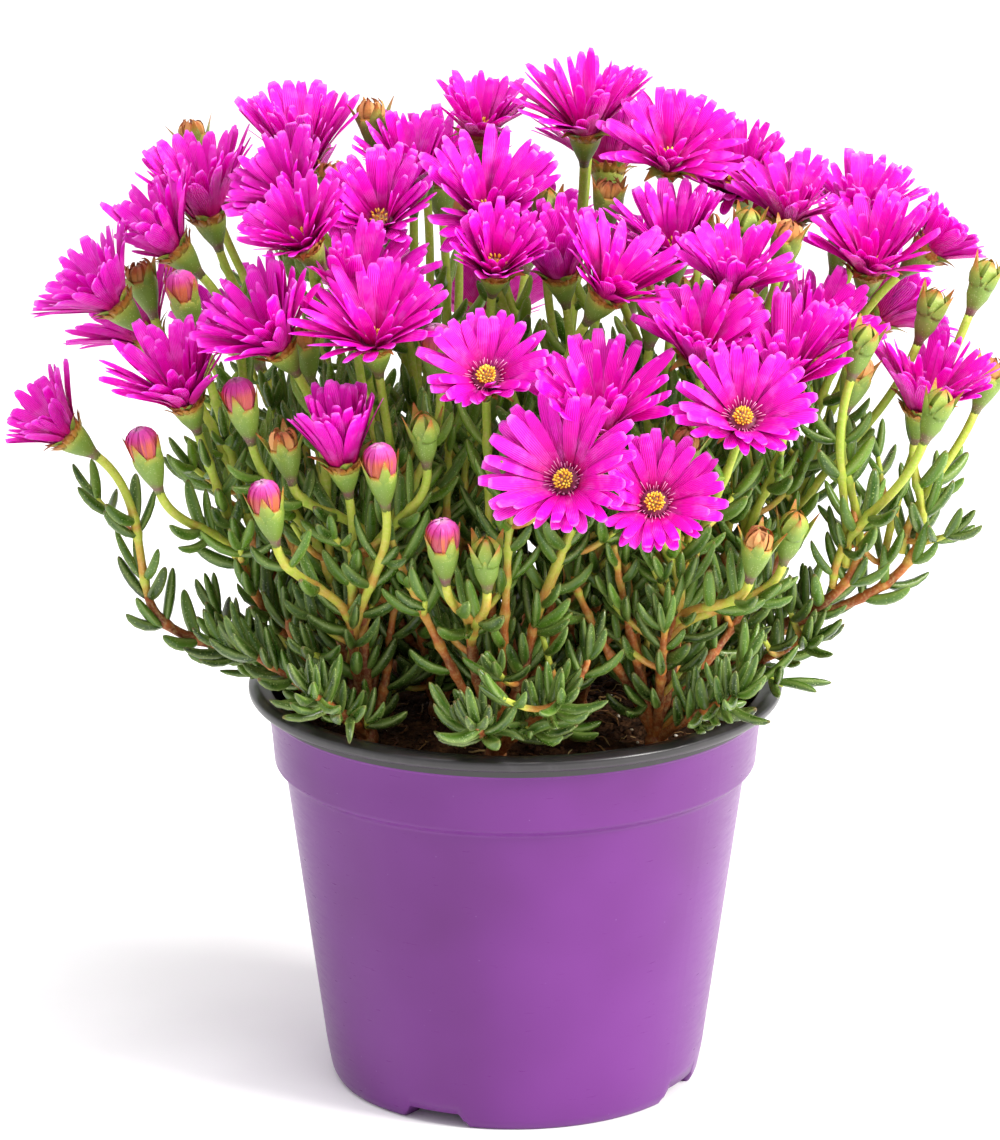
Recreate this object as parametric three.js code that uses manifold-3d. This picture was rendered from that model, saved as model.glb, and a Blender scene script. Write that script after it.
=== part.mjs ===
// Potted ice plant in a 17 cm nursery pot. Millimetres, +Z up, standing on z = 0, its front towards -Y.
// The pot and the soil are turned. The plant is nine leafy stems that come up through plain holes in the soil
// and fork into stalks. A stalk ends in a green cup that carries a bud or a separate magenta bloom.
import * as THREE from "three";
import { mergeVertices } from "three/addons/utils/BufferGeometryUtils.js";
import Module from "manifold-3d";

const wasm = await Module();
wasm.setup();

// Pot: a moulded nursery pot with a lip, a collar and a notched foot.
const potHeight = 132;
const lipRadius = 85;
const lipInnerReach = 74;
const collarRadius = 79;
const collarDrop = 28;
const wallTopRadius = 73.4;
const footRadius = 59;
const wallThickness = 1.6;
const turnedSides = 24;
const underPlateRadius = 30;
const channelOuterRadius = 50;
const channelHeight = 5;
const notchCount = 4;
const notchFirstAngle = -26;
const notchWidth = 24;
const notchSlant = 3.5;
const notchDepth = 14;
const drainHoleCount = 6;
const drainHoleRadius = 4;
const drainCircleRadius = 41;
const drainHoleSides = 6;

// Soil, and the root that stands in each of its holes.
const seatGap = 0.3;
const soilEdgeHeight = 120;
const soilMiddleHeight = 123.5;
const rootRadius = 3.2;
const rootDepth = 12;
const rootHoleGap = 0.4;
const rootSides = 6;
const crownHeight = 3;

// Trunks and stalks. A share is a fraction of a length.
const trunkRadius = 1.5;
const trunkPieces = 3;
const trunkLean = 0.3;
const stalkRadius = 1.3;
const stalkPieces = 2;
const forkSpacing = 0.12;
const sunkRadius = 0.9;
const smallestEdge = 0.2;
const forkShare = 0.46;
const forkLift = 0.5;
const routeEase = 0.36;
const routeBends = [0, 5, 10, 15, 20, 26];
const bendTurns = 8;
const nodeGap = 0.5;

// Flower heads: rings from the top down are [height along the axis, radius].
const cupLength = 13;
const cupHollow = 3;
const headSides = 4;
const headRings = {
  bloom: [[0, 5.6], [-13, 1.5]],
  pink: [[9.5, 0], [4.5, 4.4], [-1, 4.9], [-13, 1.5]],
  dry: [[6, 0], [3.5, 4.2], [-1, 4.9], [-13, 1.5]],
  green: [[6, 0], [3, 3.2], [-1, 4.3], [-13, 1.4]],
};
const budLean = 0.15;
const mostBudLean = 20;
const sepalBand = 1;
const sepalRadius = 1.3;
const sepalLength = 8;
const sepalRoots = { bloom: [0, 3.9], bud: [-1, 3.4] };
const sepalSpread = 14;
const leastSepalOpening = 58;
const budSepalOpening = { pink: 22, dry: 34, green: 26 };

// Blooms: a disc that carries the petals, and the room that each petal keeps.
const petalCount = 12;
const petalWidth = 4.6;
const petalGap = 0.3;
const petalStray = 5;
const innerPetalLift = 8;
const leastPetalShare = 0.9;
const petalShares = [1, 0.85, 0.7, 0.55, 0.4];
const discRadius = 4.2;
const discTopRadius = 3.5;
const discHeight = 2.4;
const heartRise = 1.6;
const petalRootReach = 3.8;
const wedgeShare = 0.9;
const petalClearRadius = 1.9;
const leastOpen = 12;
const openStep = 7;
const coreRadius = 4.6;
const coreHeight = 6;

// Leaves: fleshy three-sided fingers in opposite pairs.
const leafLength = 17;
const leastLeafShare = 0.75;
const leafRadius = 2.2;
const leafTipRadius = 1.2;
const leafClearRadius = 2;
const leafCurl = 0.5;
const leafBend = 0.5;
const leafShares = [1, 0.75];
const leafSpreads = [0.9, 0.5, 1.4];
const trunkNodes = [1, 2];
const shootNodes = [1, 2];
const shootLean = 1.1;
const shootTipLean = 0.6;
const stalkNode = 1;
const forkNode = 0;
const nodeHalf = 2;
const leafRootShare = 0.6;
const leafRootReach = 0.9;
const potSamples = 6;
const leafFreeFrom = 0.35;
const leafSeed = 4211;

// The planting plan, in millimetres and degrees. A bud is [x, y, z, kind]. A bloom is
// [x, y, z, "bloom", bearing, nod, opening, petal length]: bearing 0 faces the front and 90 the right, nod is
// measured from upright, and opening is the angle between a petal and the bloom's axis. A shoot is
// the [x, y, z] of its tip.
const plan = [
  {
    name: "stem_front_left",
    foot: [-46, -38],
    shoots: [[-62, -76, 150], [-84, -50, 156]],
    branches: [
      {
        fork: [-51, -52, 164],
        heads: [
          [-76, -70, 208, "pink"],
          [-53, -62, 221, "bloom", -30, 16, 30, 23],
          [-41, -75, 221, "pink"],
        ],
      },
      {
        fork: [-46, -50, 190],
        heads: [
          [-71, -60, 225, "dry"],
          [-28, -70, 233, "green"],
          [-24, -50, 252, "pink"],
        ],
      },
      {
        heads: [
          [-84, -54, 236, "pink"],
          [-73, -52, 255, "bloom", -50, 35, 52, 25],
          [-66, -18, 246, "dry"],
        ],
      },
    ],
  },
  {
    name: "stem_front",
    foot: [-6, -56],
    shoots: [[-12, -94, 146], [14, -88, 152]],
    branches: [
      {
        fork: [-14, -66, 168],
        heads: [
          [-22, -88, 201, "pink"],
          [-9, -89, 199, "green"],
        ],
      },
      {
        fork: [6, -66, 170],
        heads: [
          [15, -86, 221, "bloom", -18, 60, 74, 25],
          [26, -68, 235, "bloom", -5, 36, 68, 26],
        ],
      },
      {
        heads: [
          [-9, -66, 248, "bloom", 0, 48, 72, 19],
        ],
      },
    ],
  },
  {
    name: "stem_front_right",
    foot: [44, -42],
    shoots: [[68, -76, 150]],
    branches: [
      {
        fork: [50, -60, 172],
        heads: [
          [42, -82, 213, "bloom", 5, 62, 76, 20],
          [74, -79, 199, "dry"],
          [85, -70, 202, "green"],
        ],
      },
      {
        heads: [
          [69, -70, 236, "bloom", 5, 48, 70, 22],
          [52, -66, 227, "dry"],
        ],
      },
      {
        heads: [
          [56, -52, 253, "bloom", -5, 40, 72, 21],
          [43, -24, 259, "dry"],
          [52, 10, 255, "green"],
        ],
      },
    ],
  },
  {
    name: "stem_left",
    foot: [-62, 2],
    shoots: [[-92, -22, 150]],
    branches: [
      {
        fork: [-116, -10, 162],
        heads: [
          [-141, -15, 217, "bloom", -80, 50, 50, 20],
        ],
      },
      {
        fork: [-86, -28, 178],
        heads: [
          [-114, -45, 218, "pink"],
          [-102, -42, 235, "bloom", -40, 25, 50, 25],
        ],
      },
      {
        heads: [
          [-125, -8, 257, "bloom", -85, 42, 52, 23],
          [-103, -15, 260, "pink"],
        ],
      },
      {
        heads: [
          [-107, 0, 273, "bloom", -80, 42, 52, 24],
          [-118, 14, 259, "dry"],
        ],
      },
    ],
  },
  {
    name: "stem_right",
    foot: [61, 6],
    shoots: [[94, -14, 150]],
    branches: [
      {
        fork: [108, -22, 182],
        heads: [
          [106, -28, 239, "dry"],
          [107, -44, 254, "green"],
          [130, -50, 235, "green"],
        ],
      },
      {
        fork: [128, -10, 184],
        heads: [
          [127, -18, 226, "bloom", 30, 18, 50, 26],
          [149, -5, 233, "dry"],
          [146, -14, 267, "green"],
        ],
      },
      {
        heads: [
          [82, -46, 242, "bloom", -10, 22, 62, 27],
          [91, -16, 245, "bloom", 60, 35, 62, 24],
        ],
      },
      {
        heads: [
          [111, 2, 266, "bloom", 15, 22, 60, 25],
          [130, 6, 271, "bloom", 95, 48, 60, 18],
          [130, -12, 257, "green"],
        ],
      },
    ],
  },
  {
    name: "stem_inner_left",
    foot: [-24, -8],
    shoots: [[-34, -44, 172]],
    branches: [
      {
        heads: [
          [-43, -60, 258, "bloom", -15, 22, 64, 25],
          [-49, -36, 265, "bloom", 0, 15, 62, 26],
        ],
      },
      {
        heads: [
          [-42, -12, 284, "bloom", -15, 42, 62, 21],
          [-32, 16, 291, "bloom", 0, 16, 62, 21],
          [-29, 48, 290, "dry"],
          [-45, 24, 309, "dry"],
        ],
      },
      {
        heads: [
          [-65, -42, 285, "bloom", -45, 38, 60, 19],
          [-70, -6, 291, "bloom", -50, 42, 64, 19],
          [-57, 12, 292, "dry"],
        ],
      },
      {
        heads: [
          [-97, 20, 279, "bloom", -60, 18, 44, 27],
          [-67, 27, 293, "bloom", -10, 18, 62, 27],
          [-103, 58, 295, "dry"],
        ],
      },
    ],
  },
  {
    name: "stem_inner_right",
    foot: [20, -6],
    shoots: [[26, -44, 170]],
    branches: [
      {
        heads: [
          [28, -46, 270, "bloom", 60, 34, 60, 24],
          [14, -16, 269, "bloom", -25, 20, 38, 20],
          [-6, -42, 277, "bloom", 10, 34, 46, 17],
        ],
      },
      {
        heads: [
          [67, -36, 270, "bloom", 0, 24, 74, 20],
          [49, -14, 275, "bloom", 0, 16, 62, 22],
          [72, -13, 283, "green"],
        ],
      },
      {
        heads: [
          [-9, -8, 286, "bloom", 5, 42, 74, 26],
          [-11, 23, 305, "bloom", -8, 12, 66, 20],
          [22, 21, 306, "bloom", 5, 16, 66, 24],
          [24, 44, 306, "green"],
        ],
      },
      {
        heads: [
          [10, 0, 286, "green"],
          [29, 1, 289, "dry"],
        ],
      },
    ],
  },
  {
    name: "stem_back_left",
    foot: [-36, 38],
    shoots: [[-60, 74, 151], [-12, 92, 151]],
    branches: [
      {
        heads: [
          [-118, 46, 232, "bloom", -115, 45, 56, 23],
          [-88, 78, 222, "bloom", -140, 50, 62, 24],
          [-108, 70, 246, "pink"],
        ],
      },
      {
        heads: [
          [-50, 93, 236, "bloom", -160, 42, 60, 23],
          [-72, 54, 270, "bloom", -130, 30, 58, 25],
          [-72, 84, 250, "green"],
        ],
      },
      {
        heads: [
          [-24, 64, 278, "bloom", -170, 26, 62, 25],
          [4, 88, 254, "bloom", 175, 40, 60, 23],
          [-19, 90, 263, "dry"],
        ],
      },
    ],
  },
  {
    name: "stem_back_right",
    foot: [38, 38],
    shoots: [[60, 76, 152]],
    branches: [
      {
        heads: [
          [116, 46, 238, "bloom", 112, 44, 58, 24],
          [80, 80, 226, "bloom", 138, 48, 62, 24],
          [106, 63, 261, "green"],
        ],
      },
      {
        heads: [
          [40, 99, 236, "bloom", 160, 44, 60, 24],
          [-8, 106, 222, "bloom", 180, 52, 64, 24],
          [62, 92, 256, "dry"],
        ],
      },
      {
        heads: [
          [78, 62, 268, "bloom", 135, 30, 58, 25],
          [30, 62, 284, "bloom", 170, 24, 62, 25],
          [109, 32, 274, "bloom", 30, 14, 52, 21],
        ],
      },
      {
        heads: [
          [48, 8, 299, "bloom", 5, 40, 74, 22],
          [86, 6, 282, "bloom", 8, 22, 66, 21],
          [70, 27, 286, "bloom", -30, 36, 64, 20],
          [84, -22, 281, "dry"],
        ],
      },
    ],
  },
];

// A small seeded generator, so that every run grows the same plant.
function seededDraw(seed) {
  let state = seed;
  return (low, high) => {
    state = (state * 16807) % 2147483647;
    return low + ((high - low) * state) / 2147483647;
  };
}

function radians(degrees) {
  return (degrees * Math.PI) / 180;
}

function vector(x, y, z) {
  return new THREE.Vector3(x, y, z);
}

// A point moved by a weighted sum of directions.
function moved(point, ...steps) {
  const result = point.clone();
  for (const [direction, distance] of steps) result.addScaledVector(direction, distance);
  return result;
}

// Solids

function solidFromTriangles(points, triangles) {
  const mesh = new wasm.Mesh({
    numProp: 3,
    vertProperties: new Float32Array(points.flatMap((point) => point.toArray())),
    triVerts: new Uint32Array(triangles.flat()),
  });
  return new wasm.Manifold(mesh);
}

function solidFromGeometry(geometry) {
  geometry.deleteAttribute("normal");
  geometry.deleteAttribute("uv");
  const merged = mergeVertices(geometry, 1e-4);
  const position = merged.getAttribute("position");
  const points = [];
  for (let i = 0; i < position.count; i += 1) {
    points.push(new THREE.Vector3().fromBufferAttribute(position, i));
  }
  const index = merged.getIndex().array;
  const triangles = [];
  for (let i = 0; i < index.length; i += 3) {
    const [a, b, c] = [index[i], index[i + 1], index[i + 2]];
    if (a !== b && b !== c && c !== a) triangles.push([a, b, c]);
  }
  return solidFromTriangles(points, triangles);
}

function meshFromSolid(name, solid, material) {
  const { vertProperties, triVerts } = solid.getMesh();
  const geometry = new THREE.BufferGeometry();
  geometry.setAttribute("position", new THREE.BufferAttribute(vertProperties, 3));
  geometry.setIndex(new THREE.BufferAttribute(triVerts, 1));
  geometry.computeVertexNormals();
  const mesh = new THREE.Mesh(geometry, material);
  mesh.name = name;
  return mesh;
}

// A profile of [radius, height] points, from axis to axis, turned about Z.
function turned(profile) {
  const points = profile.map(([radius, height]) => new THREE.Vector2(radius, height));
  const geometry = new THREE.LatheGeometry(points, turnedSides);
  geometry.rotateX(Math.PI / 2);
  return solidFromGeometry(geometry);
}

function uprightCylinder(radius, low, high, x, y, sides) {
  const geometry = new THREE.CylinderGeometry(radius, radius, high - low, sides);
  geometry.rotateX(Math.PI / 2);
  geometry.translate(x, y, (low + high) / 2);
  return solidFromGeometry(geometry);
}

// A limb is a row of rings round a path, from its top down. The frames carry the first side direction along.
function ringFrames({ path, side }) {
  let sideways = side;
  return path.map((point, i) => {
    const ahead = path[Math.min(i + 1, path.length - 1)];
    const behind = path[Math.max(i - 1, 0)];
    const tangent = ahead.clone().sub(behind).normalize();
    sideways = moved(sideways, [tangent, -sideways.dot(tangent)]).normalize();
    return { tangent, sideways, across: tangent.clone().cross(sideways) };
  });
}

// The direction out of one side of a band of the limb.
function sideDirection({ sideways, across }, k, sides) {
  const angle = (2 * Math.PI * (k + 0.5)) / sides;
  return moved(vector(0, 0, 0), [sideways, Math.cos(angle)], [across, Math.sin(angle)]);
}

// A radius of 0 closes the limb in a point. Leaves and sepals sprout from single triangles of the sides, or
// from the sunken cap of a cup: a sepal is a spike, and a leaf has one more ring round its middle.
function limbSolid({ path, radii, sides, side, hollow, sprouts }) {
  const points = [];
  const triangles = [];
  const rings = ringFrames({ path, side }).map(({ sideways, across }, i) => {
    const ring = [];
    for (let k = 0; k < (radii[i] === 0 ? 1 : sides); k += 1) {
      const angle = (2 * Math.PI * k) / sides;
      ring.push(points.length);
      const [near, aside] = [radii[i] * Math.cos(angle), radii[i] * Math.sin(angle)];
      points.push(moved(path[i], [sideways, near], [across, aside]));
    }
    return ring;
  });
  const addSide = (corners, band, k) => {
    const sprout = sprouts.find((one) => one.band === band && one.k === k);
    if (!sprout) {
      triangles.push(corners);
      return;
    }
    let around = corners;
    if (sprout.middle) {
      const growing = sprout.tip.clone().sub(points[corners[0]]).normalize();
      const inner = points[corners[0]].clone().sub(points[corners[1]]);
      const toward = moved(inner, [growing, -inner.dot(growing)]).normalize();
      const beside = growing.clone().cross(toward);
      around = [0, 1, 2].map((corner) => {
        const angle = (2 * Math.PI * corner) / 3;
        const [near, aside] = [leafRadius * Math.cos(angle), leafRadius * Math.sin(angle)];
        return points.push(moved(sprout.middle, [toward, near], [beside, aside])) - 1;
      });
      for (const [a, b] of [[0, 1], [1, 2], [2, 0]]) {
        triangles.push([corners[a], corners[b], around[b]], [corners[a], around[b], around[a]]);
      }
    }
    const tip = points.push(sprout.tip) - 1;
    for (const [a, b] of [[0, 1], [1, 2], [2, 0]]) triangles.push([around[a], around[b], tip]);
  };
  for (let i = 0; i + 1 < rings.length; i += 1) {
    const [low, high] = [rings[i], rings[i + 1]];
    for (let k = 0; k < sides; k += 1) {
      const next = (k + 1) % sides;
      if (low.length > 1) triangles.push([low[k], low[next], high[next % high.length]]);
      if (high.length > 1) addSide([low[k % low.length], high[next], high[k]], i, k);
    }
  }
  const [first, last] = [rings[0], rings[rings.length - 1]];
  if (hollow) {
    const centre = points.push(hollow) - 1;
    for (let k = 0; k < sides; k += 1) addSide([centre, first[(k + 1) % sides], first[k]], -1, k);
  } else {
    for (let k = 1; k + 1 < first.length; k += 1) triangles.push([first[0], first[k + 1], first[k]]);
  }
  for (let k = 1; k + 1 < last.length; k += 1) triangles.push([last[0], last[k], last[k + 1]]);
  return solidFromTriangles(points, triangles);
}

// Room between the pieces. Each solid stick of the plant is kept as a capsule with its owner.

const sticks = [];

function distanceBetween(p, q, a, b) {
  const along1 = q.clone().sub(p);
  const along2 = b.clone().sub(a);
  const offset = p.clone().sub(a);
  const square1 = along1.dot(along1);
  const square2 = along2.dot(along2);
  const product = along1.dot(along2);
  const reach1 = along1.dot(offset);
  const reach2 = along2.dot(offset);
  const spread = square1 * square2 - product * product;
  let s = spread > 1e-9 ? (product * reach2 - reach1 * square2) / spread : 0;
  s = Math.min(Math.max(s, 0), 1);
  let t = (product * s + reach2) / square2;
  if (t < 0 || t > 1) {
    t = Math.min(Math.max(t, 0), 1);
    s = Math.min(Math.max((product * t - reach1) / square1, 0), 1);
  }
  return moved(p, [along1, s]).distanceTo(moved(a, [along2, t]));
}

// True where a path with this radius keeps the gap to every stick of other owners.
function isClear(path, radius, gap, ownOwners) {
  for (const stick of sticks) {
    if (ownOwners.includes(stick.owner) || ownOwners.includes(stick.carries)) continue;
    const room = radius + stick.radius + gap;
    for (let i = 0; i + 1 < path.length; i += 1) {
      const reach = room + path[i].distanceTo(path[i + 1]) + stick.length;
      if (path[i].distanceTo(stick.start) > reach) continue;
      if (distanceBetween(path[i], path[i + 1], stick.start, stick.end) < room) return false;
    }
  }
  return true;
}

function addSticks(path, radii, owner, carries) {
  for (let i = 0; i + 1 < path.length; i += 1) {
    const [start, end] = [path[i], path[i + 1]];
    const radius = Math.max(radii[i], radii[i + 1]);
    sticks.push({ start, end, radius, owner, carries, length: start.distanceTo(end) });
  }
}

// Stems

// The frame of a flower head: its axis, the direction down its slope, and the direction across.
function headFrame(bearing, nod) {
  const [sinB, cosB] = [Math.sin(radians(bearing)), Math.cos(radians(bearing))];
  const [sinN, cosN] = [Math.sin(radians(nod)), Math.cos(radians(nod))];
  return {
    axis: vector(sinN * sinB, -sinN * cosB, cosN),
    down: vector(cosN * sinB, -cosN * cosB, -sinN),
    across: vector(cosB, sinB, 0),
  };
}

const up = vector(0, 0, 1);

// A bud leans out the more, the further from the middle it stands.
function budFrame(x, y) {
  const bearing = (Math.atan2(x, -y) * 180) / Math.PI;
  return headFrame(bearing, Math.min(Math.hypot(x, y) * budLean, mostBudLean));
}

function readHead([x, y, z, kind, bearing, nod, opening, length], stemName, bloomName) {
  const isBloom = kind === "bloom";
  const frame = isBloom ? headFrame(bearing, nod) : budFrame(x, y);
  const top = vector(x, y, z);
  const foot = moved(top, [frame.axis, -cupLength]);
  const name = isBloom ? bloomName : stemName;
  return { ...frame, kind, isBloom, top, foot, opening, length, stemName, name };
}

// The cup under a bloom, or the whole bud, as rings from the top down, with its pointed sepals.
function shapeHead(head) {
  const rings = headRings[head.kind];
  const bloomOpening = Math.max(head.opening + sepalSpread, leastSepalOpening);
  const reach = radians(head.isBloom ? bloomOpening : budSepalOpening[head.kind]);
  const [rise, spread] = [sepalLength * Math.cos(reach), sepalLength * Math.sin(reach)];
  const [height, circle] = sepalRoots[head.isBloom ? "bloom" : "bud"];
  head.path = rings.map(([along]) => moved(head.top, [head.axis, along]));
  head.radii = rings.map(([, radius]) => radius);
  head.tips = [];
  head.sepalRoots = [];
  for (let k = 0; k < headSides; k += 1) {
    const angle = (-2 * Math.PI * (k + 0.5)) / headSides;
    const outward = moved(vector(0, 0, 0), [head.down, Math.cos(angle)], [head.across, Math.sin(angle)]);
    const root = moved(head.top, [head.axis, height], [outward, circle]);
    head.sepalRoots.push(root);
    head.tips.push(moved(root, [head.axis, rise], [outward, spread]));
  }
}

// A smooth route that leaves and arrives along given directions, bent aside where it would meet another piece.
function clearRoute(start, leaving, end, arriving, pieces, radius, owner) {
  const reach = start.distanceTo(end) * routeEase;
  let path;
  for (const bend of routeBends) {
    for (let turn = 0; turn < (bend === 0 ? 1 : bendTurns); turn += 1) {
      const angle = (2 * Math.PI * turn) / bendTurns;
      const aside = vector(Math.cos(angle), Math.sin(angle), 0);
      const curve = new THREE.CubicBezierCurve3(
        start,
        moved(start, [leaving, reach], [aside, bend]),
        moved(end, [arriving, -reach], [aside, bend]),
        end,
      );
      path = curve.getPoints(pieces);
      if (isClear(path, radius, nodeGap, [owner])) return path;
    }
  }
  return path;
}

function meanPoint(points) {
  const sum = vector(0, 0, 0);
  for (const point of points) sum.add(point);
  return sum.divideScalar(points.length);
}

// Points from the top of a route down. Two rings stand close together at each node, where leaves can sprout.
function withNodes(path, nodes) {
  const points = [];
  const isNode = [];
  for (let i = path.length - 2; i >= 0; i -= 1) {
    if (nodes.includes(i)) {
      const along = path[i + 1].clone().sub(path[Math.max(i - 1, 0)]).normalize();
      points.push(moved(path[i], [along, nodeHalf]), moved(path[i], [along, -nodeHalf]));
      isNode.push(true, false);
    } else {
      points.push(path[i]);
      isNode.push(false);
    }
  }
  return { points, isNode };
}

// The bands of a limb that are nodes, where this many of its rings lie above the route.
function nodeBands(route, above) {
  return route.isNode.flatMap((isNode, i) => (isNode ? [above + i] : []));
}

// Trunks from the root to the forks, and stalks from there to the heads. The first stalk carries its trunk on.
function growRoutes(stem) {
  const root = vector(stem.foot[0], stem.foot[1], soilMiddleHeight);
  const crown = moved(root, [up, crownHeight]);
  const buried = moved(root, [up, -rootDepth]);
  const front = vector(0, -1, 0);
  const rootRadii = [rootRadius, rootRadius];
  stem.limbs.push({ path: [crown, buried], radii: rootRadii, sides: rootSides, side: front, sprouts: [] });
  for (const tip of stem.shoots) growShoot(stem, root, vector(...tip));
  for (const branch of stem.branches) {
    const middle = meanPoint(branch.heads.map((head) => head.foot));
    const fork = branch.fork ? vector(...branch.fork) : root.clone().lerp(middle, forkShare);
    const leaning = moved(up, [fork.clone().sub(root).setZ(0).normalize(), trunkLean]).normalize();
    const onward = moved(middle.clone().sub(fork).normalize(), [up, forkLift]).normalize();
    const trunk = clearRoute(root, leaning, fork, onward, trunkPieces, trunkRadius, stem.name);
    addSticks(trunk, trunk.map(() => trunkRadius), stem.name);
    branch.heads.forEach((head, order) => {
      const start = pointAlong(trunk, 1 - order * forkSpacing);
      const stalk = clearRoute(start, onward, head.foot, head.axis, stalkPieces, stalkRadius, stem.name);
      addSticks(stalk, stalk.map(() => stalkRadius), stem.name);
      const route = withNodes(stalk, order === 0 ? [forkNode, stalkNode] : [stalkNode]);
      const radii = [...head.radii, ...route.points.map(() => stalkRadius)];
      if (order === 0) {
        const trunkRoute = withNodes(trunk, trunkNodes);
        route.points.push(...trunkRoute.points);
        route.isNode.push(...trunkRoute.isNode);
        radii.push(...trunkRoute.points.map(() => trunkRadius));
      }
      radii[radii.length - 1] = sunkRadius;
      const limb = { path: [...head.path, ...route.points], radii, sides: headSides, side: head.down };
      limb.nodes = nodeBands(route, head.path.length);
      if (head.isBloom) limb.hollow = moved(head.top, [head.axis, -cupHollow]);
      limb.sprouts = head.tips.map((tip, k) => ({ band: head.isBloom ? -1 : sepalBand, k, tip }));
      stem.limbs.push(limb);
    });
  }
}

// A short leafy shoot, with no head, that reaches out from the root.
function growShoot(stem, root, tip) {
  const outward = tip.clone().sub(root).setZ(0).normalize();
  const leaning = moved(up, [outward, shootLean]).normalize();
  const ending = moved(outward, [up, shootTipLean]).normalize();
  const shoot = clearRoute(root, leaning, tip, ending, trunkPieces, trunkRadius, stem.name);
  addSticks(shoot, shoot.map(() => trunkRadius), stem.name);
  const route = withNodes(shoot, shootNodes);
  const radii = [0, ...route.points.map(() => stalkRadius)];
  radii[radii.length - 1] = sunkRadius;
  const limb = { path: [tip, ...route.points], radii, sides: headSides, side: vector(0, 0, -1), sprouts: [] };
  limb.nodes = nodeBands(route, 1);
  stem.limbs.push(limb);
}

function pointAlong(path, share) {
  const place = Math.min(Math.max(share, 0), 1) * (path.length - 1);
  const from = Math.min(Math.floor(place), path.length - 2);
  return path[from].clone().lerp(path[from + 1], place - from);
}

// Blooms

function petalPath(bloom, outward, opening, length) {
  const root = moved(bloom.top, [bloom.axis, petalGap + discHeight / 2], [outward, petalRootReach]);
  const angle = radians(opening);
  return [root, moved(root, [bloom.axis, length * Math.cos(angle)], [outward, length * Math.sin(angle)])];
}

// Each petal opens as wide and as long as its neighbours leave room for.
function openPetals(bloom, draw) {
  bloom.petals = [];
  for (let k = 0; k < petalCount; k += 1) {
    const angle = (2 * Math.PI * (k + 0.5)) / petalCount;
    const outward = moved(vector(0, 0, 0), [bloom.down, Math.cos(angle)], [bloom.across, Math.sin(angle)]);
    const widest = bloom.opening + draw(-petalStray, petalStray) - (k % 2) * innerPetalLift;
    const longest = bloom.length * draw(leastPetalShare, 1);
    const petal = { outward, path: null };
    for (const share of petalShares) {
      for (let opening = widest; opening > leastOpen && !petal.path; opening -= openStep) {
        const path = petalPath(bloom, outward, opening, longest * share);
        if (isClear(path, petalClearRadius, nodeGap, [bloom.name])) petal.path = path;
      }
    }
    bloom.petals.push(petal);
  }
  for (const { path } of bloom.petals) {
    if (path) addSticks(path, [petalClearRadius, petalClearRadius], bloom.name);
  }
}

// A drum with a petal on each of its upward triangles. A petal widens to a blunt end and has a keel.
function bloomSolid(bloom) {
  const points = [];
  const triangles = [];
  const add = (point) => points.push(point) - 1;
  const onDrum = (turn, radius, height) => {
    const angle = (2 * Math.PI * turn) / petalCount;
    const steps = [[bloom.down, radius * Math.cos(angle)], [bloom.across, radius * Math.sin(angle)]];
    return add(moved(bloom.top, [bloom.axis, petalGap + height], ...steps));
  };
  const above = [];
  const below = [];
  for (let k = 0; k < petalCount; k += 1) {
    above.push(onDrum(k, discTopRadius, discHeight));
    below.push(onDrum(k + 0.5, discRadius, 0));
  }
  const heart = onDrum(0, 0, discHeight + heartRise);
  const base = onDrum(0, 0, 0);
  const wedge = Math.tan(Math.PI / petalCount) * wedgeShare;
  bloom.petals.forEach(({ outward, path }, k) => {
    const next = (k + 1) % petalCount;
    const [left, right, keel] = [above[k], above[next], below[k]];
    triangles.push([heart, left, right], [base, below[next], keel], [keel, below[next], right]);
    if (!path) {
      triangles.push([left, keel, right]);
      return;
    }
    const [, end] = path;
    const sideways = bloom.axis.clone().cross(outward);
    const radius = end.clone().sub(bloom.top).dot(outward);
    const half = Math.min(petalWidth / 2, radius * wedge);
    const endLeft = add(moved(end, [sideways, -half]));
    const endRight = add(moved(end, [sideways, half]));
    triangles.push([left, endLeft, endRight], [left, endRight, right]);
    triangles.push([left, keel, endLeft], [keel, right, endRight], [keel, endRight, endLeft]);
  });
  return solidFromTriangles(points, triangles);
}

// Leaves

function leafPath(base, growing, outward, spread, length) {
  const rising = moved(growing, [outward, spread]).normalize();
  const curling = moved(rising, [up, leafCurl]).normalize();
  const middle = moved(base, [rising, length * leafBend]);
  return [base, middle, moved(middle, [curling, length * (1 - leafBend)])];
}

// A leaf keeps above the soil and clear of the pot's lip.
function clearsPot(path) {
  for (let i = 1; i <= potSamples; i += 1) {
    const point = pointAlong(path, i / potSamples);
    const radius = Math.hypot(point.x, point.y);
    const isByLip = radius > lipInnerReach && radius < lipRadius + leafRadius + 1;
    if (isByLip && point.z < potHeight + leafRadius + 1) return false;
    if (radius <= lipInnerReach && point.z < soilMiddleHeight + leafRadius) return false;
  }
  return true;
}

// Opposite pairs up each limb, each pair a quarter turn from the last.
function growLeaves(stem, draw) {
  let quarter = 0;
  for (const limb of stem.limbs) {
    if (!limb.nodes) continue;
    const frames = ringFrames(limb);
    for (const band of limb.nodes) {
      quarter += 1;
      for (const k of [quarter % limb.sides, (quarter + limb.sides / 2) % limb.sides]) {
        const outward = sideDirection(frames[band], k, limb.sides);
        const growing = frames[band].tangent.clone().negate();
        const middle = limb.path[band].clone().lerp(limb.path[band + 1], leafRootShare);
        const base = moved(middle, [outward, leafRootReach]);
        const length = leafLength * draw(leastLeafShare, 1);
        const leaf = findLeaf(base, growing, outward, length, stem.name);
        if (!leaf) continue;
        limb.sprouts.push({ band, k, middle: leaf[1], tip: leaf[2] });
        addSticks(leaf, [leafClearRadius, leafClearRadius, leafTipRadius], stem.name);
      }
    }
  }
}

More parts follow.
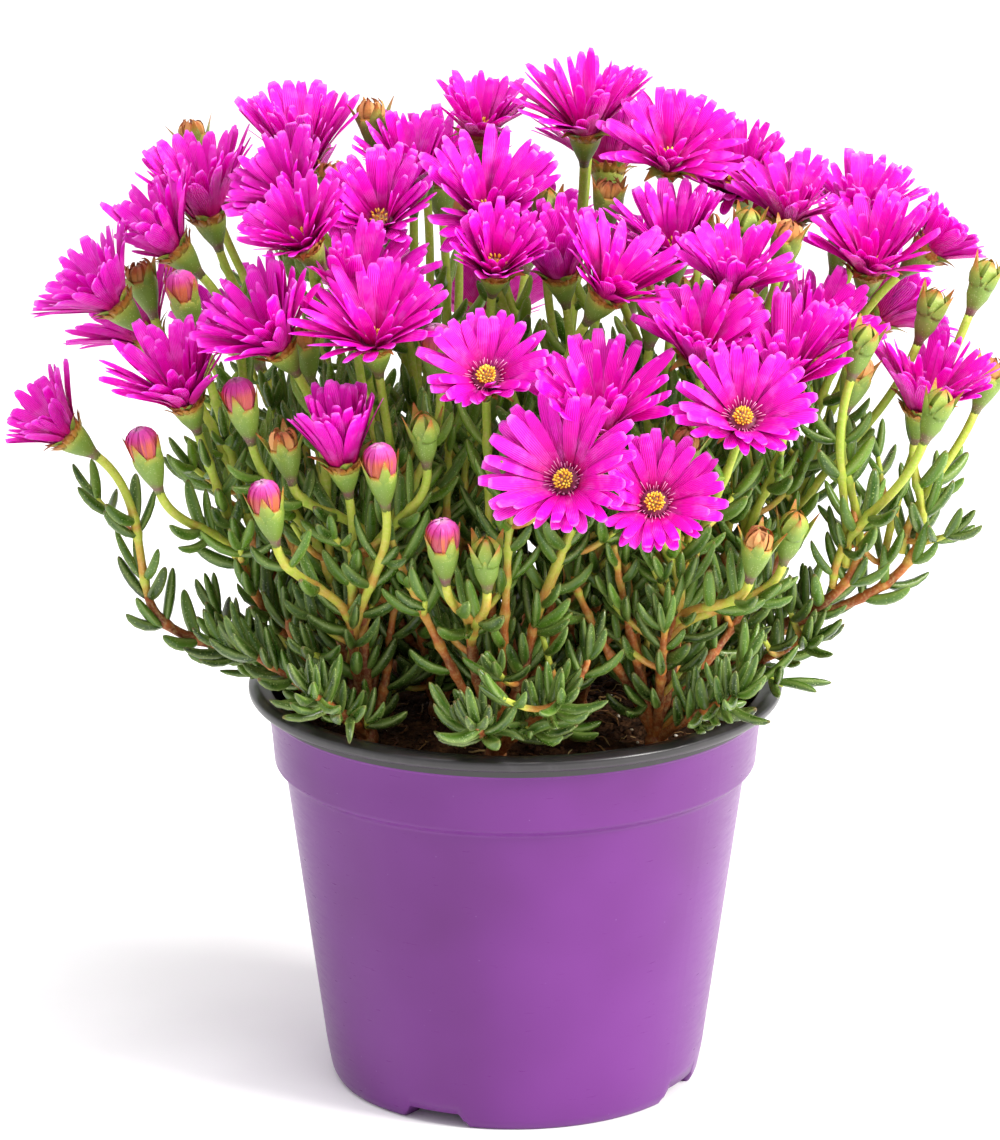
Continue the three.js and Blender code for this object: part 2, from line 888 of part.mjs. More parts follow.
// The longest and most usual leaf that has room, or none.
function findLeaf(base, growing, outward, length, owner) {
  for (const share of leafShares) {
    for (const spread of leafSpreads) {
      const leaf = leafPath(base, growing, outward, spread, length * share);
      const outer = [pointAlong(leaf, leafFreeFrom), ...leaf.slice(1)];
      const clearsOthers = isClear(leaf, leafClearRadius, nodeGap, [owner]);
      if (clearsOthers && isClear(outer, leafClearRadius, 0, []) && clearsPot(leaf)) return leaf;
    }
  }
  return null;
}

// The whole plant, grown in the order in which its pieces make room for each other.
function growPlant() {
  const stems = [];
  const blooms = [];
  for (const { name, foot, shoots, branches } of plan) {
    const stem = { name, foot, shoots, limbs: [], branches: [] };
    for (const { fork, heads } of branches) {
      const read = heads.map((head) => {
        const bloomName = `bloom_${String(blooms.length + 1).padStart(2, "0")}`;
        const result = readHead(head, name, bloomName);
        if (result.isBloom) blooms.push(result);
        return result;
      });
      stem.branches.push({ fork, heads: read });
    }
    stems.push(stem);
  }
  for (const stem of stems) {
    for (const head of stem.branches.flatMap((branch) => branch.heads)) {
      shapeHead(head);
      addSticks(head.path, head.radii, stem.name, head.name);
      head.tips.forEach((tip, k) => {
        addSticks([head.sepalRoots[k], tip], [sepalRadius, sepalRadius], stem.name, head.name);
      });
      if (head.isBloom) {
        const core = [moved(head.top, [head.axis, petalGap]), moved(head.top, [head.axis, coreHeight])];
        addSticks(core, [coreRadius, coreRadius], head.name);
      }
    }
  }
  for (const stem of stems) growRoutes(stem);
  const draw = seededDraw(leafSeed);
  const frontFirst = [...blooms].sort((one, other) => one.top.y - other.top.y);
  for (const bloom of frontFirst) openPetals(bloom, draw);
  for (const stem of stems) growLeaves(stem, draw);
  return { stems, blooms };
}

// Pot and soil

function potSolid() {
  const outside = [
    [0, 0],
    [underPlateRadius, 0],
    [underPlateRadius + 2, channelHeight],
    [channelOuterRadius, channelHeight],
    [channelOuterRadius, 0],
    [footRadius - 1.5, 0],
    [footRadius, 2.5],
    [footRadius + 1.6, 10.5],
    [wallTopRadius, potHeight - collarDrop - 1],
    [collarRadius - 2.2, potHeight - collarDrop + 1.5],
    [collarRadius, potHeight - 4.6],
    [lipRadius - 1, potHeight - 4.6],
    [lipRadius, potHeight - 3.2],
    [lipRadius, potHeight - 1.4],
    [lipRadius - 2.4, potHeight],
    [collarRadius - 1, potHeight - 1],
  ];
  const inside = [
    [collarRadius - wallThickness, potHeight - 6],
    [collarRadius - 2.2 - wallThickness, potHeight - collarDrop + 3],
    [wallTopRadius - wallThickness, potHeight - collarDrop - 1],
    [footRadius + 1.6 - wallThickness, 10.5],
    [footRadius - wallThickness, channelHeight + wallThickness],
    [underPlateRadius + 3, channelHeight + wallThickness],
    [underPlateRadius + 1, wallThickness],
    [0, wallThickness],
  ];
  let pot = turned([...outside, ...inside]);
  for (let k = 0; k < notchCount; k += 1) {
    const angle = radians(notchFirstAngle - 90 + (360 / notchCount) * k);
    pot = pot.subtract(notchSolid(angle));
  }
  for (let k = 0; k < drainHoleCount; k += 1) {
    const angle = (2 * Math.PI * k) / drainHoleCount;
    const [x, y] = [drainCircleRadius * Math.cos(angle), drainCircleRadius * Math.sin(angle)];
    const [low, high] = [channelHeight - 2, channelHeight + 4];
    pot = pot.subtract(uprightCylinder(drainHoleRadius, low, high, x, y, drainHoleSides));
  }
  return pot;
}

// A notch in the foot, narrower at its top, which lets the raised channel drain.
function notchSolid(angle) {
  const outline = new THREE.Shape();
  outline.moveTo(-notchWidth / 2, -1);
  outline.lineTo(notchWidth / 2, -1);
  outline.lineTo(notchWidth / 2 - notchSlant, channelHeight - 0.2);
  outline.lineTo(-notchWidth / 2 + notchSlant, channelHeight - 0.2);
  outline.closePath();
  const geometry = new THREE.ExtrudeGeometry(outline, { depth: notchDepth, bevelEnabled: false });
  geometry.rotateX(Math.PI / 2);
  geometry.translate(0, footRadius + 4, 0);
  geometry.rotateZ(angle - Math.PI / 2);
  return solidFromGeometry(geometry);
}

function soilSolid(stems) {
  const inset = wallThickness + seatGap;
  const floor = channelHeight + inset;
  let soil = turned([
    [0, inset],
    [underPlateRadius + 0.6, inset],
    [underPlateRadius + 2.6, floor],
    [footRadius - inset - 0.2, floor],
    [footRadius + 1.5 - inset, 10.7],
    [wallTopRadius - inset - 0.1, potHeight - collarDrop - 0.8],
    [collarRadius - 2.3 - inset, potHeight - collarDrop + 3.3],
    [collarRadius - 0.9 - inset, soilEdgeHeight],
    [0, soilMiddleHeight],
  ]);
  for (const { foot } of stems) {
    const low = soilMiddleHeight - rootDepth - rootHoleGap;
    const radius = rootRadius + rootHoleGap;
    soil = soil.subtract(uprightCylinder(radius, low, potHeight, foot[0], foot[1], rootSides));
  }
  return soil;
}

// Materials and assembly

const potPlastic = new THREE.MeshStandardMaterial({ color: "#8b45a5", roughness: 0.42, metalness: 0 });
const peat = new THREE.MeshStandardMaterial({ color: "#3b2a20", roughness: 0.95, metalness: 0 });
const foliage = new THREE.MeshStandardMaterial({ color: "#4f7a34", roughness: 0.5, metalness: 0 });
const petals = new THREE.MeshStandardMaterial({ color: "#f01fd0", roughness: 0.55, metalness: 0 });

const { stems, blooms } = growPlant();
const plant = new THREE.Group();
plant.add(meshFromSolid("pot", potSolid(), potPlastic));
plant.add(meshFromSolid("soil", soilSolid(stems), peat));
for (const stem of stems) {
  const solid = wasm.Manifold.union(stem.limbs.map(limbSolid)).simplify(smallestEdge);
  plant.add(meshFromSolid(stem.name, solid, foliage));
}
for (const bloom of blooms) {
  plant.add(meshFromSolid(bloom.name, bloomSolid(bloom), petals));
}

export default plant;
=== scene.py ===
import math
import bpy
import numpy as np
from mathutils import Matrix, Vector, noise


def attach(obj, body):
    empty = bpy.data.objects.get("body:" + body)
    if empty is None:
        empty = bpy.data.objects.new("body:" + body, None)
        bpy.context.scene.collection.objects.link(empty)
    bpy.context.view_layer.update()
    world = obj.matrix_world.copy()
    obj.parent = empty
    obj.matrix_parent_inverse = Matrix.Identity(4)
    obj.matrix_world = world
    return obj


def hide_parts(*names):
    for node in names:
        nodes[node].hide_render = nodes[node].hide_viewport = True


# A potted ice plant: a two-tone nursery pot, potting soil, nine leafy stems and 49 magenta blooms.
# Lengths are in millimetres until makePiece turns them to metres. The front of the plant faces -Y.

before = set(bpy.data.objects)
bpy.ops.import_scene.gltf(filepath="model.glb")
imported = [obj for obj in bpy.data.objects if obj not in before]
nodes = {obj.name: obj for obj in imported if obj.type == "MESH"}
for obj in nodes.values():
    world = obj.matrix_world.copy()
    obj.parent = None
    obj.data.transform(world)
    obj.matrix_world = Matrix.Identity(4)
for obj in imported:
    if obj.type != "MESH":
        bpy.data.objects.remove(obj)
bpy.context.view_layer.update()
print("frame loaded:", len(nodes), "nodes")


# Colour and nodes

def linear(hexColour):
    channels = [int(hexColour[i:i + 2], 16) / 255 for i in (1, 3, 5)]
    return [c / 12.92 if c <= 0.04045 else ((c + 0.055) / 1.055) ** 2.4 for c in channels] + [1.0]


def perMetre(millimetres):
    return 1000.0 / millimetres  # how often a pattern of that size repeats


def addNode(tree, kind, inputs=None, stops=None, **settings):
    made = tree.nodes.new("ShaderNode" + kind)
    for name, value in settings.items():
        setattr(made, name, value)
    if stops:  # a colour ramp's places and colours
        while len(made.color_ramp.elements) < len(stops):
            made.color_ramp.elements.new(0.5)
        for element, (place, colour) in zip(made.color_ramp.elements, stops):
            element.position = place
            element.color = linear(colour) if isinstance(colour, str) else [colour] * 3 + [1.0]
    for socket, value in (inputs or {}).items():
        if isinstance(value, bpy.types.NodeSocket):
            tree.links.new(value, made.inputs[socket])
        else:
            made.inputs[socket].default_value = value
    return made


def addNoise(tree, place, millimetres, detail, roughness=0.5):
    return addNode(tree, "TexNoise", {
        "Vector": place, "Scale": perMetre(millimetres), "Detail": detail, "Roughness": roughness}).outputs[0]


def addCells(tree, place, millimetres):
    return addNode(tree, "TexVoronoi", {"Vector": place, "Scale": perMetre(millimetres)}).outputs[0]


def addRange(tree, value, low, high, first, last):
    return addNode(tree, "MapRange", {0: value, 1: low, 2: high, 3: first, 4: last}).outputs[0]


def addRamp(tree, value, *stops):
    return addNode(tree, "ValToRGB", {0: value}, stops=stops).outputs[0]


def addMaths(tree, operation, *values, **settings):
    return addNode(tree, "Math", dict(enumerate(values)), operation=operation, **settings).outputs[0]


def addMix(tree, share, colour, other):
    other = linear(other) if isinstance(other, str) else other
    return addNode(tree, "Mix", {0: share, 6: colour, 7: other}, data_type="RGBA").outputs[2]


def startMaterial(name, roughness, ior, **more):
    material = bpy.data.materials.new(name)
    material.use_nodes = True
    tree = material.node_tree
    shader = tree.nodes["Principled BSDF"]
    shader.inputs["Roughness"].default_value = roughness
    shader.inputs["IOR"].default_value = ior
    shader.inputs["Metallic"].default_value = 0.0
    for socket, value in more.items():
        shader.inputs[socket.replace("_", " ")].default_value = value
    tone = addNode(tree, "Attribute", attribute_name="tone")  # own random value, place along, place across
    split = addNode(tree, "SeparateXYZ", {0: tone.outputs["Vector"]})
    place = addNode(tree, "TexCoord").outputs["Object"]
    return material, tree, shader, split.outputs, place


def finishMaterial(tree, shader, colour, bump=None, strength=0.3, depth=0.2):
    tree.links.new(colour, shader.inputs["Base Color"])
    if bump is not None:
        raised = addNode(tree, "Bump", {"Strength": strength, "Distance": depth / 1000, "Height": bump})
        tree.links.new(raised.outputs[0], shader.inputs["Normal"])


# Mesh building. A heap collects the faces of one piece, and a sleeve is a row of rings closed at both ends.

def newHeap():
    lists = ("points", "tones", "creases", "quads", "quadPaint", "fans", "fanPaint")
    return {"size": 0, **{name: [] for name in lists}}


def addSleeve(heap, rings, tone, paint, start=None, end=None, creases=None):
    count, around = rings.shape[:2]
    index = heap["size"] + np.arange(count * around).reshape(count, around)
    following = np.roll(index, -1, axis=1)
    quads = np.stack([index[:-1], following[:-1], following[1:], index[1:]], -1)
    paints = np.broadcast_to(np.asarray(paint).reshape(-1, 1), (count - 1, around))
    first, last = heap["size"] + count * around, heap["size"] + count * around + 1
    tones = np.broadcast_to(tone, (count, around, 3))
    marks = np.zeros((count, around)) if creases is None else np.broadcast_to(creases, (count, around))
    startPoint = rings[0].mean(0) if start is None else start
    endPoint = rings[-1].mean(0) if end is None else end
    heap["points"] += [rings.reshape(-1, 3), startPoint[None], endPoint[None]]
    heap["tones"] += [tones.reshape(-1, 3), tones[0].mean(0)[None], tones[-1].mean(0)[None]]
    heap["creases"] += [marks.reshape(-1), np.zeros(2)]
    heap["quads"].append(quads.reshape(-1, 4))
    heap["quadPaint"].append(paints.reshape(-1))
    heap["fans"].append(np.stack([np.full(around, first), following[0], index[0]], -1))
    heap["fans"].append(np.stack([np.full(around, last), index[-1], following[-1]], -1))
    heap["fanPaint"] += [np.full(around, paints[0, 0]), np.full(around, paints[-1, 0])]
    heap["size"] += count * around + 2


def newMesh(name, heap):
    mesh = bpy.data.meshes.new(name)
    faces = np.concatenate(heap["quads"]).tolist() + np.concatenate(heap["fans"]).tolist()
    mesh.from_pydata((np.concatenate(heap["points"]) / 1000).tolist(), [], faces)
    return mesh


def makePiece(name, heap, materials, node):
    mesh = newMesh(name, heap)
    paints = np.concatenate(heap["quadPaint"] + heap["fanPaint"]).astype(np.int32)
    mesh.polygons.foreach_set("material_index", paints)
    mesh.polygons.foreach_set("use_smooth", np.ones(len(paints), bool))
    tone = mesh.attributes.new("tone", "FLOAT_VECTOR", "POINT")
    tone.data.foreach_set("vector", np.concatenate(heap["tones"]).astype(np.float32).ravel())
    ends = np.zeros(2 * len(mesh.edges), np.int32)
    mesh.edges.foreach_get("vertices", ends)
    marks = np.concatenate(heap["creases"])[ends.reshape(-1, 2)]
    sharp = mesh.attributes.new("sharp_edge", "BOOLEAN", "EDGE")
    sharp.data.foreach_set("value", (marks[:, 0] > 0) & (marks[:, 0] == marks[:, 1]))
    for material in materials:
        mesh.materials.append(material)
    piece = bpy.data.objects.new(name, mesh)
    bpy.context.scene.collection.objects.link(piece)
    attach(piece, "root")
    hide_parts(node)
    return piece


# Vectors

def vec(*numbers):
    return np.array(numbers, float)


def unit(vectors):
    return vectors / np.maximum(np.linalg.norm(vectors, axis=-1, keepdims=True), 1e-9)


def seededDraw(seed):
    state = [seed]

    def draw(low, high):
        state[0] = state[0] * 16807 % 2147483647
        return low + (high - low) * state[0] / 2147483647

    return draw


def bezier(controls, shares):
    a, b, c, d = controls
    t = np.asarray(shares, float)[:, None]
    return (1 - t) ** 3 * a + 3 * (1 - t) ** 2 * t * b + 3 * (1 - t) * t ** 2 * c + t ** 3 * d


def ringFrames(path, side):
    ahead = np.vstack([path[1:], path[-1:]])
    behind = np.vstack([path[:1], path[:-1]])
    tangents = unit(ahead - behind)
    sides = []
    for tangent in tangents:
        side = unit(side - tangent * side.dot(tangent))
        sides.append(side)
    sides = np.array(sides)
    return tangents, sides, np.cross(tangents, sides)


def sweepRings(path, radii, angles, sides, across):
    return path[:, None] + radii[..., None] * (
        np.cos(angles)[None, :, None] * sides[:, None] + np.sin(angles)[None, :, None] * across[:, None])


def addTube(heap, path, radii, tone, paint, around, lobes=0.0, start=None, end=None):
    tangents, sides, across = ringFrames(path, vec(0.31, -0.9, 0.27))
    angles = 2 * np.pi * np.arange(around) / around
    radii = np.asarray(radii, float)[:, None] * (1 + lobes * np.cos(3 * angles))[None]
    addSleeve(heap, sweepRings(path, radii, angles, sides, across), tone, paint, start, end)


def quadratic(a, b, c, shares):
    t = np.asarray(shares, float)[:, None]
    return (1 - t) ** 2 * a + 2 * t * (1 - t) * b + t * t * c


def curveLength(controls):
    return np.linalg.norm(np.diff(bezier(controls, np.linspace(0, 1, 12)), axis=0), axis=1).sum()


# Planting plan, the same as the frame's: buds [x, y, z, kind] and
# blooms [x, y, z, "bloom", bearing, nod, opening, length]

plan = [
    {"name": "stem_front_left", "foot": [-46, -38], "shoots": [[-62, -76, 150], [-84, -50, 156]], "branches": [
        {"fork": [-51, -52, 164], "heads": [[-76, -70, 208, "pink"], [-53, -62, 221, "bloom", -30, 16, 30, 23],
            [-41, -75, 221, "pink"]]},
        {"fork": [-46, -50, 190], "heads": [[-71, -60, 225, "dry"], [-28, -70, 233, "green"],
            [-24, -50, 252, "pink"]]},
        {"heads": [[-84, -54, 236, "pink"], [-73, -52, 255, "bloom", -50, 35, 52, 25], [-66, -18, 246, "dry"]]},
    ]},
    {"name": "stem_front", "foot": [-6, -56], "shoots": [[-12, -94, 146], [14, -88, 152]], "branches": [
        {"fork": [-14, -66, 168], "heads": [[-22, -88, 201, "pink"], [-9, -89, 199, "green"]]},
        {"fork": [6, -66, 170], "heads": [[15, -86, 221, "bloom", -18, 60, 74, 25],
            [26, -68, 235, "bloom", -5, 36, 68, 26]]},
        {"heads": [[-9, -66, 248, "bloom", 0, 48, 72, 19]]},
    ]},
    {"name": "stem_front_right", "foot": [44, -42], "shoots": [[68, -76, 150]], "branches": [
        {"fork": [50, -60, 172], "heads": [[42, -82, 213, "bloom", 5, 62, 76, 20], [74, -79, 199, "dry"],
            [85, -70, 202, "green"]]},
        {"heads": [[69, -70, 236, "bloom", 5, 48, 70, 22], [52, -66, 227, "dry"]]},
        {"heads": [[56, -52, 253, "bloom", -5, 40, 72, 21], [43, -24, 259, "dry"], [52, 10, 255, "green"]]},
    ]},
    {"name": "stem_left", "foot": [-62, 2], "shoots": [[-92, -22, 150]], "branches": [
        {"fork": [-116, -10, 162], "heads": [[-141, -15, 217, "bloom", -80, 50, 50, 20]]},
        {"fork": [-86, -28, 178], "heads": [[-114, -45, 218, "pink"], [-102, -42, 235, "bloom", -40, 25, 50, 25]]},
        {"heads": [[-125, -8, 257, "bloom", -85, 42, 52, 23], [-103, -15, 260, "pink"]]},
        {"heads": [[-107, 0, 273, "bloom", -80, 42, 52, 24], [-118, 14, 259, "dry"]]},
    ]},
    {"name": "stem_right", "foot": [61, 6], "shoots": [[94, -14, 150]], "branches": [
        {"fork": [108, -22, 182], "heads": [[106, -28, 239, "dry"], [107, -44, 254, "green"],
            [130, -50, 235, "green"]]},
        {"fork": [128, -10, 184], "heads": [[127, -18, 226, "bloom", 30, 18, 50, 26], [149, -5, 233, "dry"],
            [146, -14, 267, "green"]]},
        {"heads": [[82, -46, 242, "bloom", -10, 22, 62, 27], [91, -16, 245, "bloom", 60, 35, 62, 24]]},
        {"heads": [[111, 2, 266, "bloom", 15, 22, 60, 25], [130, 6, 271, "bloom", 95, 48, 60, 18],
            [130, -12, 257, "green"]]},
    ]},
    {"name": "stem_inner_left", "foot": [-24, -8], "shoots": [[-34, -44, 172]], "branches": [
        {"heads": [[-43, -60, 258, "bloom", -15, 22, 64, 25], [-49, -36, 265, "bloom", 0, 15, 62, 26]]},
        {"heads": [[-42, -12, 284, "bloom", -15, 42, 62, 21], [-32, 16, 291, "bloom", 0, 16, 62, 21],
            [-29, 48, 290, "dry"], [-45, 24, 309, "dry"]]},
        {"heads": [[-65, -42, 285, "bloom", -45, 38, 60, 19], [-70, -6, 291, "bloom", -50, 42, 64, 19],
            [-57, 12, 292, "dry"]]},
        {"heads": [[-97, 20, 279, "bloom", -60, 18, 44, 27], [-67, 27, 293, "bloom", -10, 18, 62, 27],
            [-103, 58, 295, "dry"]]},
    ]},
    {"name": "stem_inner_right", "foot": [20, -6], "shoots": [[26, -44, 170]], "branches": [
        {"heads": [[28, -46, 270, "bloom", 60, 34, 60, 24], [14, -16, 269, "bloom", -25, 20, 38, 20],
            [-6, -42, 277, "bloom", 10, 34, 46, 17]]},
        {"heads": [[67, -36, 270, "bloom", 0, 24, 74, 20], [49, -14, 275, "bloom", 0, 16, 62, 22],
            [72, -13, 283, "green"]]},
        {"heads": [[-9, -8, 286, "bloom", 5, 42, 74, 26], [-11, 23, 305, "bloom", -8, 12, 66, 20],
            [22, 21, 306, "bloom", 5, 16, 66, 24], [24, 44, 306, "green"]]},
        {"heads": [[10, 0, 286, "green"], [29, 1, 289, "dry"]]},
    ]},
    {"name": "stem_back_left", "foot": [-36, 38], "shoots": [[-60, 74, 151], [-12, 92, 151]], "branches": [
        {"heads": [[-118, 46, 232, "bloom", -115, 45, 56, 23], [-88, 78, 222, "bloom", -140, 50, 62, 24],
            [-108, 70, 246, "pink"]]},
        {"heads": [[-50, 93, 236, "bloom", -160, 42, 60, 23], [-72, 54, 270, "bloom", -130, 30, 58, 25],
            [-72, 84, 250, "green"]]},
        {"heads": [[-24, 64, 278, "bloom", -170, 26, 62, 25], [4, 88, 254, "bloom", 175, 40, 60, 23],
            [-19, 90, 263, "dry"]]},
    ]},
    {"name": "stem_back_right", "foot": [38, 38], "shoots": [[60, 76, 152]], "branches": [
        {"heads": [[116, 46, 238, "bloom", 112, 44, 58, 24], [80, 80, 226, "bloom", 138, 48, 62, 24],
            [106, 63, 261, "green"]]},
        {"heads": [[40, 99, 236, "bloom", 160, 44, 60, 24], [-8, 106, 222, "bloom", 180, 52, 64, 24],
            [62, 92, 256, "dry"]]},
        {"heads": [[78, 62, 268, "bloom", 135, 30, 58, 25], [30, 62, 284, "bloom", 170, 24, 62, 25],
            [109, 32, 274, "bloom", 30, 14, 52, 21]]},
        {"heads": [[48, 8, 299, "bloom", 5, 40, 74, 22], [86, 6, 282, "bloom", 8, 22, 66, 21],
            [70, 27, 286, "bloom", -30, 36, 64, 20], [84, -22, 281, "dry"]]},
    ]},
]


# How the stems, petals and leaves of the frame grew, repeated from the same plan and seed, so that each
# piece lies on its node

growth = {
    "soilTop": 123.5, "trunkRadius": 1.5, "stalkRadius": 1.3, "trunkPieces": 3, "stalkPieces": 2,
    "trunkLean": 0.3, "forkSpacing": 0.12, "forkShare": 0.46, "forkLift": 0.5, "routeEase": 0.36,
    "routeBends": [0, 5, 10, 15, 20, 26], "bendTurns": 8, "nodeGap": 0.5, "shootLean": 1.1, "shootTipLean": 0.6,
    "cupLength": 13, "budLean": 0.15, "mostBudLean": 20, "headSides": 4, "sepalRadius": 1.3, "sepalLength": 8,
    "sepalSpread": 14, "leastSepalOpening": 58, "budSepalOpening": {"pink": 22, "dry": 34, "green": 26},
    "headRings": {
        "bloom": [[0, 5.6], [-13, 1.5]],
        "pink": [[9.5, 0], [4.5, 4.4], [-1, 4.9], [-13, 1.5]],
        "dry": [[6, 0], [3.5, 4.2], [-1, 4.9], [-13, 1.5]],
        "green": [[6, 0], [3, 3.2], [-1, 4.3], [-13, 1.4]],
    },
    "petalCount": 12, "petalGap": 0.3, "petalStray": 5, "innerLift": 8, "leastPetalShare": 0.9,
    "petalShares": [1, 0.85, 0.7, 0.55, 0.4], "discHeight": 2.4, "petalRootReach": 3.8, "petalRadius": 1.9,
    "leastOpen": 12, "openStep": 7, "coreRadius": 4.6, "coreHeight": 6,
    "leafLength": 17, "leastLeafShare": 0.75, "leafRadius": 2.2, "leafTipRadius": 1.2, "leafClearRadius": 2,
    "leafCurl": 0.5, "leafBend": 0.5, "leafShares": [1, 0.75], "leafSpreads": [0.9, 0.5, 1.4],
    "trunkNodes": [1, 2], "shootNodes": [1, 2], "stalkNode": 1, "forkNode": 0, "nodeHalf": 2, "leafRootShare": 0.6,
    "leafRootReach": 0.9, "potSamples": 6, "leafFreeFrom": 0.35, "leafSeed": 4211,
    "potHeight": 132, "lipRadius": 85, "lipInnerReach": 74,
}
up = vec(0, 0, 1)
sticks = {key: np.zeros((20000, 3)) for key in ("start", "end", "middle")}
sticks.update({key: np.zeros(20000) for key in ("radius", "reach", "owner", "carries")}, count=0, numbers={"": 0})


def numberOf(name):
    return sticks["numbers"].setdefault(name or "", len(sticks["numbers"]))


def addSticks(path, radii, owner, carries=None):
    path, radii = np.asarray(path), np.asarray(radii, float)
    here = slice(sticks["count"], sticks["count"] + len(path) - 1)
    sticks["start"][here], sticks["end"][here] = path[:-1], path[1:]
    sticks["middle"][here] = (path[:-1] + path[1:]) / 2
    sticks["radius"][here] = np.maximum(radii[:-1], radii[1:])
    sticks["reach"][here] = np.linalg.norm(path[1:] - path[:-1], axis=1) / 2 + sticks["radius"][here]
    sticks["owner"][here], sticks["carries"][here] = numberOf(owner), numberOf(carries)
    sticks["count"] += len(path) - 1


def isClear(path, radius, gap, owner=None):
    count, own = sticks["count"], numberOf(owner)
    for p, q in zip(path[:-1], path[1:]):
        reach = sticks["reach"][:count] + radius + gap + np.linalg.norm(q - p) / 2 + 0.001
        near = np.flatnonzero(((sticks["middle"][:count] - (p + q) / 2) ** 2).sum(1) < reach ** 2)
        if owner:
            near = near[(sticks["owner"][near] != own) & (sticks["carries"][near] != own)]
        if not len(near):
            continue
        a, b, limit = sticks["start"][near], sticks["end"][near], sticks["radius"][near] + radius + gap
        along1, along2, offset = q - p, b - a, p - a
        square1, square2 = along1 @ along1, (along2 ** 2).sum(1)
        product, reach1, reach2 = along2 @ along1, offset @ along1, (along2 * offset).sum(1)
        spread = square1 * square2 - product ** 2
        s = np.where(spread > 1e-9, (product * reach2 - reach1 * square2) / np.maximum(spread, 1e-12), 0)
        s = np.clip(s, 0, 1)
        t = (product * s + reach2) / square2
        outside = (t < 0) | (t > 1)
        t = np.clip(t, 0, 1)
        s = np.where(outside, np.clip((product * t - reach1) / square1, 0, 1), s)
        apart = p + along1 * s[:, None] - a - along2 * t[:, None]
        if (np.linalg.norm(apart, axis=1) < limit).any():
            return False
    return True


def headFrame(bearing, nod):
    sinB, cosB = math.sin(math.radians(bearing)), math.cos(math.radians(bearing))
    sinN, cosN = math.sin(math.radians(nod)), math.cos(math.radians(nod))
    axis = vec(sinN * sinB, -sinN * cosB, cosN)
    return {"axis": axis, "down": vec(cosN * sinB, -cosN * cosB, -sinN), "across": vec(cosB, sinB, 0)}


def aroundHead(head, turn):
    return head["down"] * math.cos(turn) + head["across"] * math.sin(turn)


def readHead(values, stemName, bloomName):
    x, y, z, kind = values[:4]
    isBloom = kind == "bloom"
    if isBloom:
        head = headFrame(values[4], values[5])
        head.update(opening=values[6], length=values[7], nod=values[5])
    else:
        nod = min(math.hypot(x, y) * growth["budLean"], growth["mostBudLean"])
        head = headFrame(math.degrees(math.atan2(x, -y)), nod)
    top = vec(x, y, z)
    head.update(kind=kind, isBloom=isBloom, top=top, foot=top - head["axis"] * growth["cupLength"],
                name=bloomName if isBloom else stemName)
    return head


def shapeHead(head):
    rings = growth["headRings"][head["kind"]]
    if head["isBloom"]:
        reach = math.radians(max(head["opening"] + growth["sepalSpread"], growth["leastSepalOpening"]))
    else:
        reach = math.radians(growth["budSepalOpening"][head["kind"]])
    rise, spread = growth["sepalLength"] * math.cos(reach), growth["sepalLength"] * math.sin(reach)
    height, circle = (0, 3.9) if head["isBloom"] else (-1, 3.4)
    head["path"] = [head["top"] + head["axis"] * along for along, radius in rings]
    head["radii"] = [radius for along, radius in rings]
    head["sepals"] = []
    for k in range(growth["headSides"]):
        outward = aroundHead(head, -2 * math.pi * (k + 0.5) / growth["headSides"])
        root = head["top"] + head["axis"] * height + outward * circle
        head["sepals"].append((root, root + head["axis"] * rise + outward * spread, outward))


def clearRoute(start, leaving, end, arriving, pieces, radius, owner):
    reach = np.linalg.norm(start - end) * growth["routeEase"]
    for bend in growth["routeBends"]:
        for turn in range(growth["bendTurns"] if bend else 1):
            angle = 2 * math.pi * turn / growth["bendTurns"]
            aside = vec(math.cos(angle), math.sin(angle), 0) * bend
            controls = [start, start + leaving * reach + aside, end - arriving * reach + aside, end]
            path = bezier(controls, np.arange(pieces + 1) / pieces)
            if isClear(path, radius, growth["nodeGap"], owner):
                return path, controls
    return path, controls


def withNodes(path, atNodes):
    points, isNode = [], []
    for i in range(len(path) - 2, -1, -1):
        if i in atNodes:
            along = unit(path[i + 1] - path[max(i - 1, 0)]) * growth["nodeHalf"]
            points += [path[i] + along, path[i] - along]
            isNode += [True, False]
        else:
            points.append(path[i])
            isNode.append(False)
    return points, isNode


def pointAlong(path, share):
    place = min(max(share, 0), 1) * (len(path) - 1)
    before = min(int(place), len(path) - 2)
    return path[before] + (path[before + 1] - path[before]) * (place - before)


